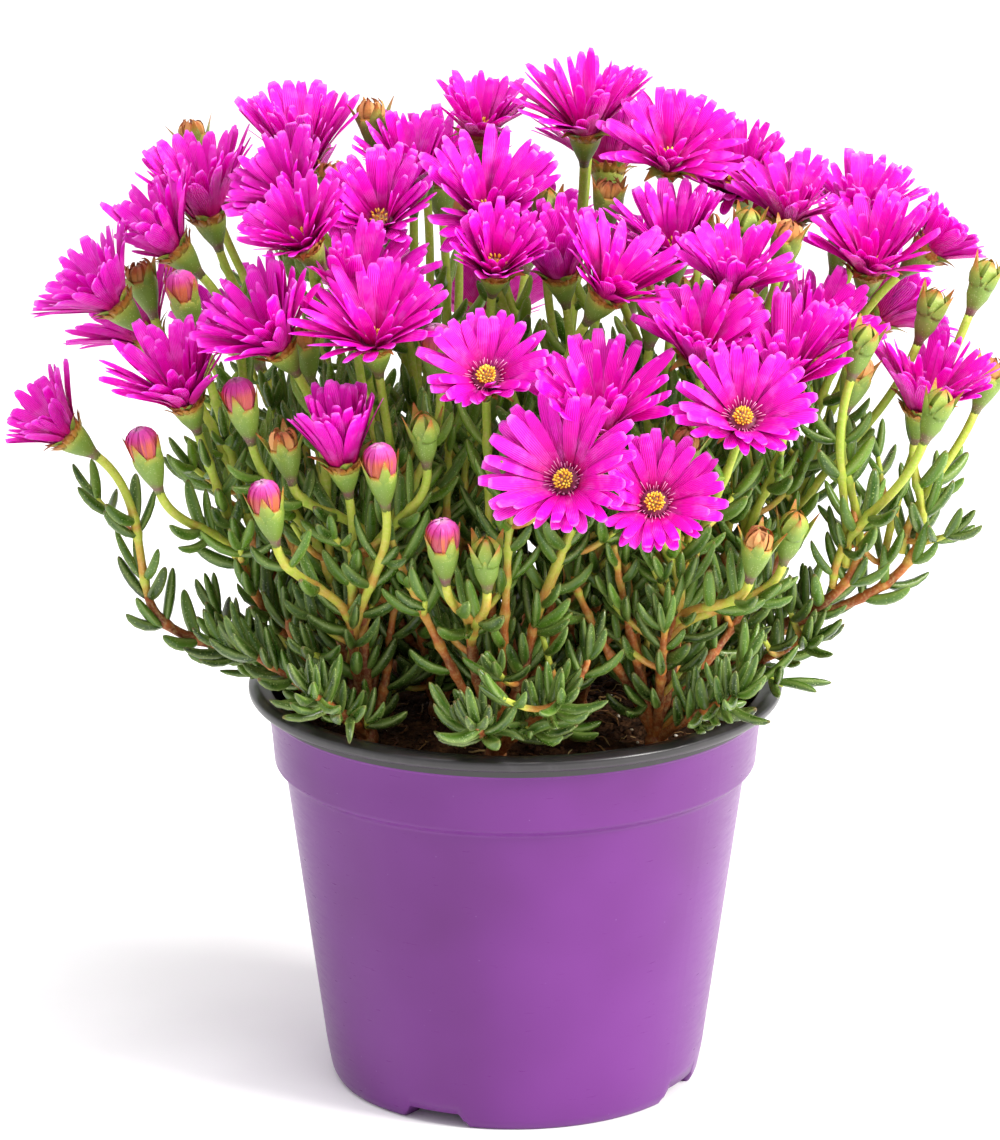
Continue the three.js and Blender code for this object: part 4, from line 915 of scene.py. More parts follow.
def makeBloom(bloom, draw):
    look, heap = bloomLook, newHeap()
    axis, top = bloom["axis"], bloom["top"]
    stations = np.array(look["stations"])
    pale = draw(0, 1) ** 2 * 0.55
    isFlat = bloom["nod"] >= look["flatNod"]
    layers = [look["outerPetals"], look["innerPetals"]] + [look["closingPetals"]] * (not isFlat)
    for layer, count in enumerate(layers):
        offset = draw(0, 1)
        for k in range(count):
            turn = 2 * math.pi * (k + offset + draw(-look["turnStray"], look["turnStray"])) / count
            outward = aroundHead(bloom, turn)
            opening, length = petalAt(bloom, turn)
            if layer == 2:  # short ones that close over the middle
                opening *= draw(*look["closingOpening"])
                length *= draw(*look["closingLength"])
            else:
                opening = opening + draw(-3, 3) - layer * draw(*look["layerStep"])
                length *= draw(0.9, 1.04) - 0.06 * layer
            if isFlat:  # the lower petals of a nodding bloom are shorter and reach forward
                lowness = max(0, math.cos(turn))
                opening, length = opening - 12 * lowness, length * (1 - 0.2 * lowness)
            opening = max(opening, look["leastOpening"])
            angle = math.radians(opening)
            circle = look["rootCircle"] - look["circleStep"] * layer
            root = top + outward * circle - axis * draw(*look["rootDepth"])
            seat = top + outward * growth["petalRootReach"] + axis * look["seatHeight"]
            tip = seat + (axis * math.cos(angle) + outward * math.sin(angle)) * length
            early = math.radians(opening * 0.5)
            bend = root + (axis * math.cos(early) + outward * math.sin(early)) * length * draw(*look["bendShare"])
            curl = draw(-0.05, 0.08)
            path = quadratic(root, bend, tip, stations)
            path += (axis * curl * length)[None] * (stations ** 4)[:, None]
            side = np.cross(axis, outward)
            path += side[None] * (draw(-0.12, 0.12) * length * stations ** 2)[:, None]
            width = look["width"] / 2 * math.sqrt(length / look["fullLength"]) * draw(0.8, 1.1)
            width *= look["closingWidth"] if layer == 2 else 1
            widths = np.array(look["widths"]) * width
            if draw(0, 1) < look["squareTips"]:
                widths[-1] = width * 0.6
            elif draw(0, 1) < look["taperedTips"]:
                widths[-3:] *= vec(0.84, 0.62, 0.4)
            shade = min(1, max(0, pale + draw(-0.15, 0.4)))
            addBlade(heap, path, side, widths, look["thickness"], draw(-0.2, 0.32), shade, 0,
                     draw(-look["twist"], look["twist"]))
    turns = 2 * np.pi * np.arange(look["discSides"]) / look["discSides"]
    rim = bloom["down"][None] * np.cos(turns)[:, None] + bloom["across"][None] * np.sin(turns)[:, None]
    rings = np.array([top + axis * height + rim * radius for height, radius, shade in look["discLevels"]])
    tone = np.array([[0.5, shade, 0.5] for height, radius, shade in look["discLevels"]])[:, None]
    addSleeve(heap, rings, tone, 3)
    for k in range(look["filaments"] * isFlat):
        outward = aroundHead(bloom, 2 * math.pi * (k + draw(0, 0.7)) / look["filaments"])
        foot = top + outward * draw(3.2, 4.2) + axis * 0.6
        lean, tall = draw(0.5, 1.5), draw(1.5, 2.6)
        end = foot + (axis + outward * lean) * tall
        path = quadratic(foot, foot + axis * tall * 0.6 + outward * 0.2, end, [0, 0.35, 0.7, 1])
        along = np.array([[0.5, share, 0.5] for share in (0, 0.35, 0.7, 1)])[:, None]
        addTube(heap, path, [0.16, 0.14, 0.12, 0.12], along, 2, 4)
    anthers = look["anthers"] if isFlat else look["hiddenAnthers"]
    for k in range(anthers):
        reach = math.sqrt((k + 0.5) / anthers)
        outward = aroundHead(bloom, k * look["goldenTurn"])
        lean = unit(axis * 1.1 + outward * reach * 1.15)
        foot = top + axis * 0.9 + outward * reach * look["domeRadius"] * 0.7
        tip = foot + lean * (draw(2.7, 3.3) - 1.0 * reach ** 2)
        addTube(heap, np.array([foot, tip - lean * 0.5]), [0.16, 0.14], vec(0.5, 0.55, 0.5), 2, 3)
        size, shade = draw(0.34, 0.48), draw(0, 1)
        path = np.array([tip - lean * 0.55, tip, tip + lean * 0.5])
        addTube(heap, path, [size * 0.75, size, size * 0.6], vec(shade, 0.5, 0.5), 1, 5,
                start=tip - lean * 0.85, end=tip + lean * 0.8)
    makePiece("open_" + bloom["name"], heap, [groovedPetal, powderyAnther, paleFilament, maroonDisc],
              bloom["name"])


bloomDraw = seededDraw(bloomLook["seed"])
for bloom in blooms:
    makeBloom(bloom, bloomDraw)
print("blooms made:", len(blooms))


# Leafy stems

stemLook = {
    "seed": 3119, "trunkRadii": [1.8, 1.45], "shootRadii": [1.6, 1.0], "stalkRadii": [1.35, 1.45], "swelling": 0.55,
    "swellingHalf": 1.7, "ringSpacing": 2.3, "woodTop": 232, "woodFoot": 150,
    "leafStations": {9: [0, 0.08, 0.2, 0.38, 0.57, 0.74, 0.87, 0.95, 0.985], 6: [0, 0.16, 0.4, 0.65, 0.86, 0.965]},
    "leafRadii": {9: [0.62, 0.8, 0.96, 1.04, 1, 0.88, 0.68, 0.44, 0.22], 6: [0.7, 0.95, 1.05, 0.96, 0.68, 0.32]},
    "leafRadius": 1.95, "leafLobes": 0.13,
    "nodeSpacing": {"trunk": 10.0, "shoot": 9.0, "stalk": 12.0}, "nodeFrom": 129, "leafyTop": 275, "fullLeafTop": 215,
    "fillerShoots": 7, "fillerTop": [172, 232], "fillerReach": [6, 46], "fillerEdge": 88, "fillerRadius": 1.1,
    "extraLength": 16.5, "extraRadius": 1.5, "fanChance": 0.5, "sideShootChance": 0.42, "sideShootTop": 205,
    "leafShares": [1, 0.75, 0.55], "leafClearance": 1.0, "leafCutClearance": 0.95, "leafFreeFrom": 0.4,
    "leafTip": 0.9,
    "farReach": 105, "farHeight": 190, "outerReach": 78, "outerTop": 205, "fanTop": 227, "nodeApart": 3,
    "lastNodes": {"trunk": 0.97, "shoot": 0.97, "stalk": 0.8}, "tipLeaves": [6, 5], "lowTip": 172, "rimReach": 85,
    "rimStations": [0.3, 0.97, 11], "rimLifts": [-0.5, 0.4, 1.3], "tuftLeaves": 11, "sideShootRadius": 0.9,
    "sideShootRadii": [1.15, 1.0, 1.0, 1.05, 0.92, 0.9, 0.8], "sideShootStations": [0, 0.35, 0.7, 1],
    "crownHeights": [-9, -5, -1.5, 0.5, 2.6, 4.4], "crownRadii": [0.9, 1.8, 3.2, 3.5, 2.9, 1.7],
    "rimTufts": [["stem_front_left", -52, -71, 139], ["stem_front", -9, -84, 138], ["stem_front", 4, -80, 138],
                 ["stem_right", 84, -34, 140], ["stem_front_right", 62, -62, 139], ["stem_left", -82, -22, 140]],
}

# Young stem rind: green and moist at the top, turning lower down to thin orange-brown cork with a dull shine
corkyRind, tree, shader, tone, place = startMaterial("green and corky stem rind", 0.5, 1.43, Specular_IOR_Level=0.4)
patchy = addNoise(tree, place, 9, 5.0, 0.6)
shifted = addRange(tree, patchy, 0.25, 0.75, -0.16, 0.16)
woody = addMaths(tree, "ADD", tone[1], shifted, use_clamp=True)
rindColour = addRamp(
    tree, woody, (0.0, "#9CB83C"), (0.34, "#B4BC42"), (0.52, "#C0903C"), (0.74, "#B26028"), (1.0, "#723418"))
streaked = addNoise(tree, place, 1.1, 4.0, 0.6)
streaks = addRange(tree, streaked, 0.45, 0.8, 0.0, 0.45)
rindMixed = addMix(tree, streaks, rindColour, "#E0C98A")
finishMaterial(tree, shader, rindMixed, streaked, 0.35, 0.2)

# Ice plant leaf: a three-sided finger of water-filled flesh under a waxy skin, dull green with clear pale dots, paler
# along its three edges, partly its own colour and partly a painted highlight, and reddish at some tips
waxyLeaf, tree, shader, tone, place = startMaterial("waxy succulent leaf", 0.4, 1.44, Specular_IOR_Level=0.5)
leafAge = addRamp(
    tree, tone[0], (0.0, "#1A2C08"), (0.28, "#294A0C"), (0.58, "#497016"), (0.85, "#82A52E"), (1.0, "#AEC448"))
cloudy = addNoise(tree, place, 7, 4.0)
cloud = addRange(tree, cloudy, 0.35, 0.75, 0.0, 0.5)
waxed = addMix(tree, cloud, leafAge, "#688630")
# Paler keels: partly the leaf's own colour, partly a painted highlight where the edges catch the light
rim = addRange(tree, tone[2], 0.3, 1.0, 0.0, 0.34)
keelsPaleAndHighlit = addMix(tree, rim, waxed, "#A9BD6A")
cells = addCells(tree, place, 0.85)
dots = addRamp(tree, cells, (0.12, 0.55), (0.26, 0.0))
dotted = addMix(tree, dots, keelsPaleAndHighlit, "#BFCC86")
tipPatch = addNoise(tree, place, 25, 1.0)
tipShare = addRange(tree, tipPatch, 0.45, 0.65, 0.1, 0.8)
redTip = addRange(tree, tone[1], 0.93, 1.0, 0.0, tipShare)
tipped = addMix(tree, redTip, dotted, "#7C4A30")
leafGloss = addRange(tree, cloudy, 0.3, 0.7, 0.22, 0.42)
tree.links.new(leafGloss, shader.inputs["Roughness"])
finishMaterial(tree, shader, tipped, cells, 0.3, 0.12)

# The cup under a bloom and its sepals: the same flesh, yellower, purplish at the foot, dried orange-brown at the rim
fleshyCup, tree, shader, tone, place = startMaterial("fleshy green cup", 0.45, 1.44, Specular_IOR_Level=0.45)
mottle = addNoise(tree, place, 4, 5.0, 0.6)
shifted = addRange(tree, mottle, 0.3, 0.7, -0.07, 0.07)
ripeness = addMaths(tree, "ADD", tone[1], shifted, use_clamp=True)
cupColour = addRamp(
    tree, ripeness, (0.0, "#73504E"), (0.14, "#6A7E30"), (0.45, "#728E38"), (0.64, "#93A040"), (0.8, "#B27832"),
    (1.0, "#7E3216"))
cupCells = addCells(tree, place, 0.8)
cupDots = addRamp(tree, cupCells, (0.1, 0.4), (0.24, 0.0))
cupDotted = addMix(tree, cupDots, cupColour, "#D5DDA0")
finishMaterial(tree, shader, cupDotted, cupCells, 0.35, 0.15)

# Petals still folded in a bud: orange low down, magenta above and whitish at the top; the whitish top is a painted
# highlight
foldedPetal, tree, shader, tone, place = startMaterial("folded bud petal", 0.45, 1.42, Subsurface_Weight=0.1)
shader.inputs["Subsurface Scale"].default_value = 0.0008
# Painted highlight: the tops of the folded petals run to whitish pink
budColourTopHighlight = addRamp(
    tree, tone[1], (0.0, "#B5602A"), (0.36, "#CC6244"), (0.54, "#CE3688"), (0.8, "#DA54B6"), (1.0, "#F2C4E4"))
budShade = addMix(tree, tone[0], budColourTopHighlight, "#B03484")
budLines = addMaths(tree, "MULTIPLY", tone[2], 40.0)
budLines = addMaths(tree, "SINE", budLines)
finishMaterial(tree, shader, budShade, budLines, 0.4, 0.12)

# Petals dried on the bud: papery, orange-brown with dull red edges
paperyPetal, tree, shader, tone, place = startMaterial("papery dried petal", 0.75, 1.4)
paperyColour = addRamp(tree, tone[1], (0.0, "#93803A"), (0.35, "#B0722E"), (0.7, "#9C4422"), (1.0, "#6E2418"))
paperyShade = addMix(tree, tone[0], paperyColour, "#D8A46A")
crumple = addNoise(tree, place, 0.9, 4.0)
finishMaterial(tree, shader, paperyShade, crumple, 0.6, 0.3)


def addLeaf(heap, path, outward, radius, shade, around):
    look = stemLook
    base, middle, tip = path
    stations = np.array(look["leafStations"][around])
    points = quadratic(base, 2 * middle - (base + tip) / 2, tip, stations)
    tangents, sides, across = ringFrames(points, unit(outward * 0.8 - up * 0.6))
    angles = 2 * np.pi * np.arange(around) / around
    edge = np.cos(3 * angles)
    radii = radius * np.array(look["leafRadii"][around])[:, None] * (1 + look["leafLobes"] * edge)[None]
    rings = sweepRings(points, radii, angles, sides, across)
    along = np.repeat(stations[:, None], around, 1)
    tone = np.stack([np.full_like(along, shade), along, np.repeat((edge / 2 + 0.5)[None], len(points), 0)], -1)
    addSleeve(heap, rings, tone, 1, base - unit(middle - base), tip)


def addCurve(heap, curve, draw):
    look, kind = stemLook, curve["kind"]
    length = curveLength(curve["controls"])
    shares = np.linspace(0, 1, max(7, int(length / look["ringSpacing"])))
    path = bezier(curve["controls"], shares)
    first, last = look[kind + "Radii"]
    radii = first + (last - first) * shares
    wood = np.clip((look["woodTop"] - path[:, 2]) / (look["woodTop"] - look["woodFoot"]), 0.05, 1)
    wood = wood * {"trunk": 1, "shoot": 0.85, "stalk": 0.62}[kind]
    for place in curve["allNodes"]:
        near = np.exp(-((shares - place) * length / look["swellingHalf"]) ** 2)
        radii = radii + look["swelling"] * near
        wood = wood - 0.18 * near
        above = (shares - place) * length
        wood = wood + 0.22 * np.where((above > 0) & (above < 6), 1 - above / 6, 0)  # oranger just over a node
    tone = np.stack([np.full(len(path), draw(0, 1)), np.clip(wood, 0, 1), np.full(len(path), 0.5)], -1)[:, None]
    addTube(heap, path, radii, tone, 0, 8, lobes=0.03)


def addRound(heap, head, levels, paint, around=18, start=None, end=None, waves=0.0):
    turns = -2 * np.pi * np.arange(around) / around
    spin = head["down"][None] * np.cos(turns)[:, None] + head["across"][None] * np.sin(turns)[:, None]
    ribs = 1 + waves * np.cos(5 * turns)
    rings = np.array([head["top"] + head["axis"] * height + spin * (radius * ribs)[:, None]
                      for height, radius, ripe in levels])
    if np.cross(spin[0], spin[1]).dot(head["axis"]) < 0:
        rings = rings[:, ::-1]
    tone = np.array([[0.5, ripe, 0.5] for height, radius, ripe in levels])[:, None]
    addSleeve(heap, rings, tone, paint, start, end)


def addHeadBlade(heap, head, turn, profile, widths, thickness, cup, shade, paint, swirl=0.0, twist=0.0, ripe=None):
    shares = np.linspace(0, 1, len(widths))
    heights = np.array([[height, radius, 0] for height, radius in profile], float)
    line = bezier(heights, shares) if len(profile) == 4 else quadratic(*heights, shares)
    path = []
    for (height, radius, none), share in zip(line, shares):
        outward = aroundHead(head, turn + swirl * share)
        path.append(head["top"] + head["axis"] * height + outward * radius)
    outward = aroundHead(head, turn)
    side = np.cross(head["axis"], outward)
    addBlade(heap, np.array(path), side, widths, thickness, cup, shade, paint, twist, ripe)


# Cups are rings of [height, radius, place on the colour ramp] below and above the top of the head, and blades are
# profiles of [height, radius] with a list of half widths from root to tip
headLook = {
    "sepalWidths": [2.3, 2.5, 2.35, 2.0, 1.55, 1.1, 0.65, 0.22],
    "bloomCup": [[-13.4, 1.45, 0.1], [-11.4, 1.8, 0.02], [-9.4, 2.7, 0.15], [-7, 3.8, 0.35], [-4.4, 4.7, 0.52],
                 [-2.2, 5.25, 0.7], [-0.7, 5.5, 0.86], [0.3, 5.6, 0.95], [0.5, 5.3, 1], [0, 4.8, 1],
                 [-1.6, 4.3, 0.9]],
    "fringeCount": 16, "fringeStray": 0.3, "fringeOpening": [10, 50], "fringeWidths": [0.9, 1.15, 0.7, 0.15],
    "budWidth": 4.85, "greenWidth": 4.3,
    "pinkCore": [[-1, 3.9, 0.1], [3, 4.0, 0.5], [6, 3.3, 0.7], [8, 1.7, 0.9], [8.8, 0.6, 1]],
    "pinkPetals": 13, "pinkStray": 0.15, "pinkStep": 0.22, "pinkWidths": [1.0, 1.5, 1.75, 1.75, 1.45, 1.0, 0.45],
    "dryCore": [[-1, 3.7, 0.1], [1.6, 3.6, 0.4], [3.6, 2.4, 0.8], [4.4, 1.0, 1]],
    "dryPetals": 15, "dryStray": 0.35, "dryTwist": 60, "dryWidths": [0.8, 1.1, 1.05, 0.8, 0.5, 0.18],
    "greenCore": [[-1, 3.5, 0.5], [1.4, 3.2, 0.55], [3.4, 2.2, 0.6], [4.8, 0.9, 0.7]],
    "greenSepals": 5, "greenWidths": [2.0, 2.3, 2.2, 1.8, 1.3, 0.8, 0.25],
}


def addSepals(heap, head, draw):
    for root, tip, outward in head["sepals"]:
        lower = root - head["axis"] * 2.2 + outward * (0.2 if head["isBloom"] else 0.6)
        bend = root + head["axis"] * 1.6 + outward * 1.6
        path = quadratic(lower, bend, tip, np.linspace(0, 1, 8))
        widths = np.array(headLook["sepalWidths"]) * draw(0.85, 1.1)
        side = np.cross(head["axis"], outward)
        addBlade(heap, path, side, widths, 0.9, 0.22, draw(0, 1), 2, draw(-15, 15), (0.42, 0.93))


def strayTurn(k, count, stray, draw):
    return 2 * math.pi * (k + draw(-stray, stray)) / count


def addBloomCup(heap, head, draw):
    look = headLook
    addRound(heap, head, look["bloomCup"], 2, 20, end=head["top"] - head["axis"] * 2.4, waves=0.03)
    added, least = look["fringeOpening"]
    reach = math.radians(max(head["opening"] + added, least))
    for k in range(look["fringeCount"]):  # torn dry fringe outside the petals
        turn = strayTurn(k, look["fringeCount"], look["fringeStray"], draw)
        tall = draw(0.8, 3.2)
        profile = [(-2.6, 5.0), (-0.4, 6.2), (-0.2 + tall * math.cos(reach), 6.0 + tall * math.sin(reach))]
        widths = np.array(look["fringeWidths"]) * draw(0.7, 1.2)
        addHeadBlade(heap, head, turn, profile, widths, 0.35, draw(-0.3, 0.3), 0.5, 2,
                     twist=draw(-40, 40), ripe=(0.72, 1))
    addSepals(heap, head, draw)


def addBud(heap, head, draw):
    look, kind = headLook, head["kind"]
    wide = look["greenWidth"] if kind == "green" else look["budWidth"]
    levels = [(-13.4, 1.4, 0.1), (-11.4, 1.75, 0.02), (-9.4, 2.55, 0.15), (-7, 3.5, 0.32),
              (-4.4, 4.35 * wide / 4.9, 0.42), (-2.2, wide * 0.99, 0.5), (-0.6, wide, 0.66),
              (0.2, wide * 0.93, 0.82), (-0.2, wide * 0.84, 0.9)]
    addRound(heap, head, levels, 2, 18, end=head["top"] - head["axis"] * 0.8, waves=0.035)
    addSepals(heap, head, draw)
    if kind == "pink":
        addRound(heap, head, look["pinkCore"], 3, 16)
        for k in range(look["pinkPetals"]):
            turn = strayTurn(k, look["pinkPetals"], look["pinkStray"], draw)
            out = look["pinkStep"] * (k % 2)
            profile = [(-1.4, 3.9 + out), (5.2, 5.2 + out), (8.6, 4.4 + out), (9.5 - draw(0, 0.8), 0.5)]
            addHeadBlade(heap, head, turn, profile, look["pinkWidths"], 0.3, -0.1, draw(0, 0.55), 3, draw(0.25, 0.5))
    elif kind == "dry":
        addRound(heap, head, look["dryCore"], 4, 14)
        for k in range(look["dryPetals"]):
            turn = strayTurn(k, look["dryPetals"], look["dryStray"], draw)
            profile = [(-1.2, 3.8), (3.2, draw(4.0, 5.2)), (draw(4, 6), draw(2.4, 4.4)),
                       (draw(3.8, 6.2), draw(0.4, 2.6))]
            widths = np.array(look["dryWidths"]) * draw(0.8, 1.3)
            addHeadBlade(heap, head, turn, profile, widths, 0.28, draw(-0.4, 0.4), draw(0, 0.8), 4, draw(-0.5, 0.7),
                         draw(-look["dryTwist"], look["dryTwist"]))
    else:
        addRound(heap, head, look["greenCore"], 2, 14)
        for k in range(look["greenSepals"]):
            turn = 2 * math.pi * k / look["greenSepals"]
            profile = [(-2.5, 3.6), (1.6, 4.8), (4.2, 3.0), (draw(5.2, 6.2), draw(0.3, 1.2))]
            addHeadBlade(heap, head, turn, profile, look["greenWidths"], 0.7, -0.14, 0.5, 2, 0.15, ripe=(0.45, 0.86))


def bentLeaf(base, direction, curl, length):
    direction = unit(direction)
    middle = base + direction * length / 2
    return [base, middle, middle + unit(direction + curl) * length / 2]


def tryLeaf(stem, base, direction, curl, length, outward):
    look = stemLook
    for share in look["leafShares"]:
        path = bentLeaf(base, direction, curl, length * share)
        outer = [pointAlong(path, look["leafFreeFrom"]), *path[1:]]
        isFree = isClear(path, look["leafClearance"], 0, stem["name"]) and isClear(outer, look["leafCutClearance"], 0)
        if isFree and clearsPot(path):
            stem["leaves"].append({"path": path, "outward": outward, "isFrame": False, "size": share})
            addSticks(path, [look["extraRadius"]] * 2 + [look["leafTip"]], stem["name"])
            return


def tryFan(stem, base, direction, count, length, draw):
    side = unit(np.cross(direction, up + vec(0.2, 0.1, 0)))
    other = np.cross(side, direction)
    for k in range(count):
        turn = 2 * math.pi * (k + draw(0, 0.6)) / count
        outward = side * math.cos(turn) + other * math.sin(turn)
        spread = draw(0.25, 0.75)
        foot = base + direction * draw(-1.5, 1.0)
        tryLeaf(stem, foot, direction + outward * spread + up * 0.2, up * 0.6 + direction * 0.3,
                length * draw(0.7, 1.05), outward)


def eitherSign(draw):
    return 1 if draw(0, 1) < 0.5 else -1


def leafSize(height):
    look = stemLook
    share = (height - look["fullLeafTop"]) / (look["leafyTop"] - look["fullLeafTop"])
    return 1 - 0.5 * min(max(share, 0), 1)


def leafOut(stem, draw):
    look = stemLook
    for curve in stem["curves"]:
        length = curveLength(curve["controls"])
        step = look["nodeSpacing"][curve["kind"]] / length
        curve["allNodes"] = list(curve["nodes"])
        place, quarter = step * draw(0.3, 0.8), draw(0, math.pi)
        while place < look["lastNodes"][curve["kind"]]:
            here, ahead = bezier(curve["controls"], [place, min(place + 0.02, 1)])
            apart = min([abs(place - node) for node in curve["nodes"]]) * length
            if apart > look["nodeApart"] and here[2] > look["nodeFrom"]:
                growing = unit(ahead - here)
                side = unit(np.cross(growing, vec(math.cos(quarter), math.sin(quarter), 0.1)))
                size = leafSize(here[2])
                fromMiddle = math.hypot(here[0], here[1])
                isFar = fromMiddle > look["farReach"] and here[2] > look["farHeight"]
                if here[2] < look["leafyTop"] and not isFar and (here[2] < look["fullLeafTop"] or draw(0, 1) < 0.7):
                    curve["allNodes"].append(place)
                    for outward in (side, -side):
                        direction = growing * draw(0.5, 0.9) + outward + up * draw(0.1, 0.5)
                        tryLeaf(stem, here + outward * 0.9, direction, up * draw(0.4, 1.0),
                                look["extraLength"] * size * draw(0.75, 1.15), outward)
                    isOuter = fromMiddle > look["outerReach"] and here[2] < look["outerTop"]
                    if here[2] < look["fanTop"] and (isOuter or draw(0, 1) < look["fanChance"]):
                        outward = side * eitherSign(draw)
                        direction = unit(growing * 0.8 + outward + up * (0.7 if isOuter else 0))
                        tryFan(stem, here + outward * 1.5, direction, 5 if isOuter else 4,
                               look["extraLength"] * (1.05 if isOuter else 0.8) * size, draw)
                    if here[2] < look["sideShootTop"] and draw(0, 1) < look["sideShootChance"]:
                        addSideShoot(stem, here, unit(np.cross(side, growing)) * eitherSign(draw), draw)
            place += step * draw(0.8, 1.25)
            quarter += math.pi / 2
    for tip in stem["shoots"]:
        # Shoots that reach out over the rim are leafier
        isLow = tip[2] < look["lowTip"] and math.hypot(tip[0], tip[1]) > look["rimReach"]
        curve = [curve for curve in stem["curves"] if curve["kind"] == "shoot"
                 and np.allclose(curve["controls"][3], vec(*tip))][0]
        direction = unit(curve["controls"][3] - curve["controls"][2])
        tryFan(stem, vec(*tip), direction, look["tipLeaves"][0], look["extraLength"], draw)
        tryFan(stem, vec(*tip) - direction * 4, direction, look["tipLeaves"][1], look["extraLength"], draw)
        if isLow:
            for share in np.linspace(*look["rimStations"]):
                base = bezier(curve["controls"], [share])[0]
                for lift in look["rimLifts"]:
                    outward = vec(direction[1], -direction[0], 0) * eitherSign(draw)
                    tryLeaf(stem, base, direction * 0.7 + outward * draw(0.3, 1) + up * lift, up * draw(0.2, 0.9),
                            look["extraLength"] * draw(0.95, 1.15), outward)


def addSideShoot(stem, base, outward, draw):
    look = stemLook
    for attempt in range(3):
        reach = draw(11, 21) * (1 - 0.25 * attempt)
        leaving = unit(outward + up * draw(0.1, 0.9))
        end = base + leaving * reach + up * reach * 0.25
        controls = [base, base + outward * reach * 0.35, end - unit(leaving + up * 0.6) * reach * 0.35, end]
        path, radius = bezier(controls, look["sideShootStations"]), look["sideShootRadius"]
        if isClear(path, radius, 0, stem["name"]) and clearsPot(list(path)):
            addSticks(path, [radius] * len(path), stem["name"])
            stem["sideShoots"].append(controls)
            growing = unit(controls[3] - controls[2])
            side = unit(np.cross(growing, up + vec(0.1, 0.3, 0)))
            for sign in (1, -1):
                tryLeaf(stem, path[2], growing * 0.6 + side * sign, up * 0.5,
                        look["extraLength"] * draw(0.7, 1), side * sign)
            tryFan(stem, end, growing, 5, look["extraLength"] * draw(0.8, 1), draw)
            return


def addRimTufts(stem, draw):
    look = stemLook
    for name, x, y, z in look["rimTufts"]:
        if name != stem["name"]:
            continue
        start, end = vec(*stem["foot"], growth["soilTop"] + 1), vec(x, y, z)
        away = unit(vec(x, y, 0))
        controls = [start, start + (end - start) * 0.4 + up * 9, end - away * 8 + up * 3, end]
        stem["sideShoots"].append(controls)
        path = bezier(controls, look["sideShootStations"])
        addSticks(path, [look["sideShootRadius"]] * len(path), stem["name"])
        across = np.cross(up, away)
        for k in range(look["tuftLeaves"]):
            turn = draw(-1.15, 1.15)
            outward = away * math.cos(turn) + across * math.sin(turn)
            lift = draw(-0.15, 0.9)
            base = end - away * draw(0, 9) + up * 0.8
            tryLeaf(stem, base, outward + up * lift, up * draw(-0.9, 0.5), draw(11, 17), outward)


def makeStem(stem, draw):
    look, heap = stemLook, newHeap()
    foot = vec(*stem["foot"], growth["soilTop"])
    for curve in stem["curves"]:
        addCurve(heap, curve, draw)
    count = len(look["sideShootRadii"])
    for controls in stem["sideShoots"]:
        path = bezier(controls, np.linspace(0, 1, count))
        wood = np.linspace(0.75, 0.15, count)
        tone = np.stack([np.full(count, 0.5), wood, np.full(count, 0.5)], -1)[:, None]
        addTube(heap, path, look["sideShootRadii"], tone, 0, 7)
    crown = [foot + up * height for height in look["crownHeights"]]
    addTube(heap, np.array(crown), look["crownRadii"], vec(0.5, 0.95, 0.5), 0, 12, lobes=0.1)
    for head in [head for branch in stem["branches"] for head in branch["heads"]]:
        if head["isBloom"]:
            addBloomCup(heap, head, draw)
        else:
            addBud(heap, head, draw)
    for leaf in stem["leaves"]:
        height = leaf["path"][1][2]
        shade = 0.2 + (height - 150) / 230 + draw(-0.2, 0.26)
        radius = look["leafRadius"] * draw(0.86, 1.06) if leaf["isFrame"] else look["extraRadius"] * draw(0.85, 1.15)
        if not leaf["isFrame"]:
            radius *= 0.65 + 0.35 * leaf["size"]
            shade += 0.1 * (1 - leaf["size"])
        addLeaf(heap, leaf["path"], leaf["outward"], radius, min(max(shade, 0.02), 1), 9 if leaf["isFrame"] else 6)
    makePiece("leafy_" + stem["name"], heap, [corkyRind, waxyLeaf, fleshyCup, foldedPetal, paperyPetal],
              stem["name"])


def addFillerShoots(stem, draw):
    look = stemLook
    root = vec(*stem["foot"], growth["soilTop"])
    for attempt in range(look["fillerShoots"] * 5):
        turn, reach = draw(0, 2 * math.pi), draw(*look["fillerReach"])
        outward = vec(math.cos(turn), math.sin(turn), 0)
        end = root + outward * reach + up * (draw(*look["fillerTop"]) - root[2] - reach * 0.4)
        controls = [root, root + (up + outward * 0.4) * 20, end - (up + outward * 0.25) * 16, end]
        path = bezier(controls, np.linspace(0, 1, 6))
        isFree = isClear(path[1:], 1.8, 0.3, stem["name"]) and isClear(path[2:], 1.0, 0)
        if math.hypot(end[0], end[1]) < look["fillerEdge"] and isFree:
            addSticks(path, [look["fillerRadius"]] * len(path), stem["name"])
            stem["curves"].append({"kind": "shoot", "controls": controls, "nodes": [0.5]})
            stem["shoots"].append(list(end))
        if sum(curve["kind"] == "shoot" for curve in stem["curves"]) > look["fillerShoots"] + 2:
            return


stemDraw = seededDraw(stemLook["seed"])
for stem in stems:
    stem["sideShoots"], stem["shoots"] = [], list(stem["shoots"])
    addRimTufts(stem, stemDraw)
    addFillerShoots(stem, stemDraw)
for stem in stems:
    leafOut(stem, stemDraw)
for stem in stems:
    makeStem(stem, stemDraw)
print("stems made:", len(stems), "with", sum(len(stem["leaves"]) for stem in stems), "leaves")


# Floor, light and camera

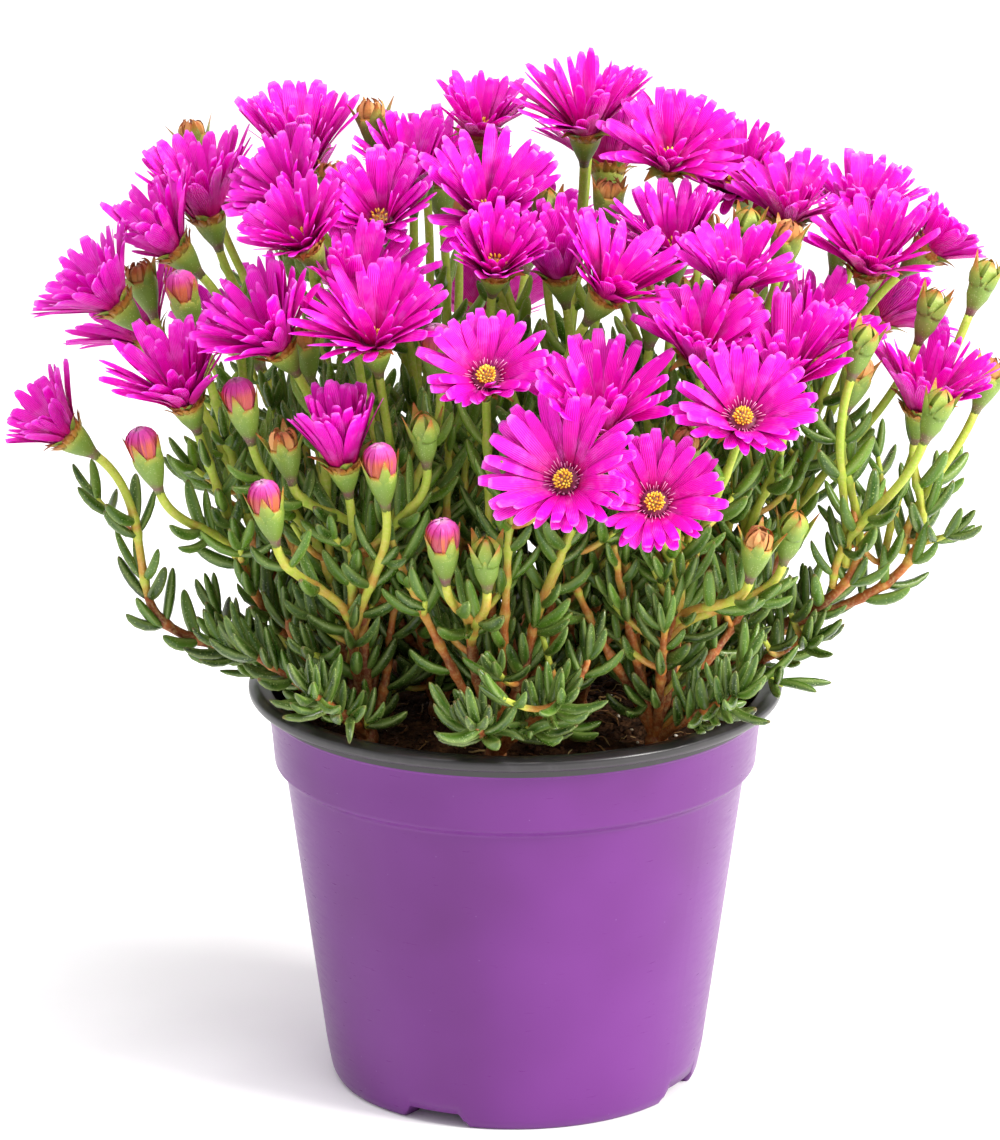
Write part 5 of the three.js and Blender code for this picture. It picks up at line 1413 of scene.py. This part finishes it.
# Matt white card, sprayed: a plain surface with hardly visible grain
card, tree, shader, tone, place = startMaterial("matt white card", 0.9, 1.4, Specular_IOR_Level=0.1)
paperGrain = addNoise(tree, place, 40, 3.0)
cardColour = addRamp(tree, paperGrain, (0.3, "#FAFAFA"), (0.7, "#FDFDFD"))
finishMaterial(tree, shader, cardColour)
studio = {
    "target": (-0.0048, 0.0, 0.1675), "distance": 2.2, "elevation": 16.5, "lens": 219.05, "worldStrength": 0.98,
    "floorRadius": 12, "floorSides": 64,
    "lights": {
        "key": {"place": (1.4, -0.7, 1.1), "size": 0.8, "watts": 46, "colour": "#FFFCF8"},
        "top": {"place": (0.0, -0.5, 1.8), "size": 0.9, "watts": 16, "colour": "#FFFFFF"},
    },
}

floorMesh = bpy.data.meshes.new("floor")
radius, sides = studio["floorRadius"], studio["floorSides"]
floorTurns = 2 * np.pi * np.arange(sides) / sides
floorMesh.from_pydata([(radius * math.cos(a), radius * math.sin(a), 0) for a in floorTurns], [], [list(range(sides))])
floorMesh.materials.append(card)
floor = bpy.data.objects.new("floor", floorMesh)
bpy.context.scene.collection.objects.link(floor)


def aimAt(thing, place, target):
    thing.location = place
    thing.rotation_euler = (Vector(target) - Vector(place)).to_track_quat("-Z", "Y").to_euler()
    bpy.context.scene.collection.objects.link(thing)


world = bpy.data.worlds.new("pale studio")
world.use_nodes = True
bpy.context.scene.world = world
background = world.node_tree.nodes["Background"]
background.inputs[0].default_value = linear("#FFFFFF")
background.inputs[1].default_value = studio["worldStrength"]
for name, light in studio["lights"].items():
    lamp = bpy.data.lights.new(name, "AREA")
    lamp.shape = "DISK"
    lamp.size = light["size"]
    lamp.energy = light["watts"]
    lamp.color = linear(light["colour"])[:3]
    aimAt(bpy.data.objects.new(name, lamp), light["place"], studio["target"])
camera = bpy.data.cameras.new("camera")
camera.sensor_fit = "AUTO"
camera.sensor_width = 36
camera.lens = studio["lens"]
camera.clip_end = 50
elevation = math.radians(studio["elevation"])
target = Vector(studio["target"])
stand = target + Vector((0, -math.cos(elevation), math.sin(elevation))) * studio["distance"]
cameraObject = bpy.data.objects.new("camera", camera)
aimAt(cameraObject, stand, target)
bpy.context.scene.camera = cameraObject
bpy.context.scene.view_settings.view_transform = "Standard"
print("studio ready")
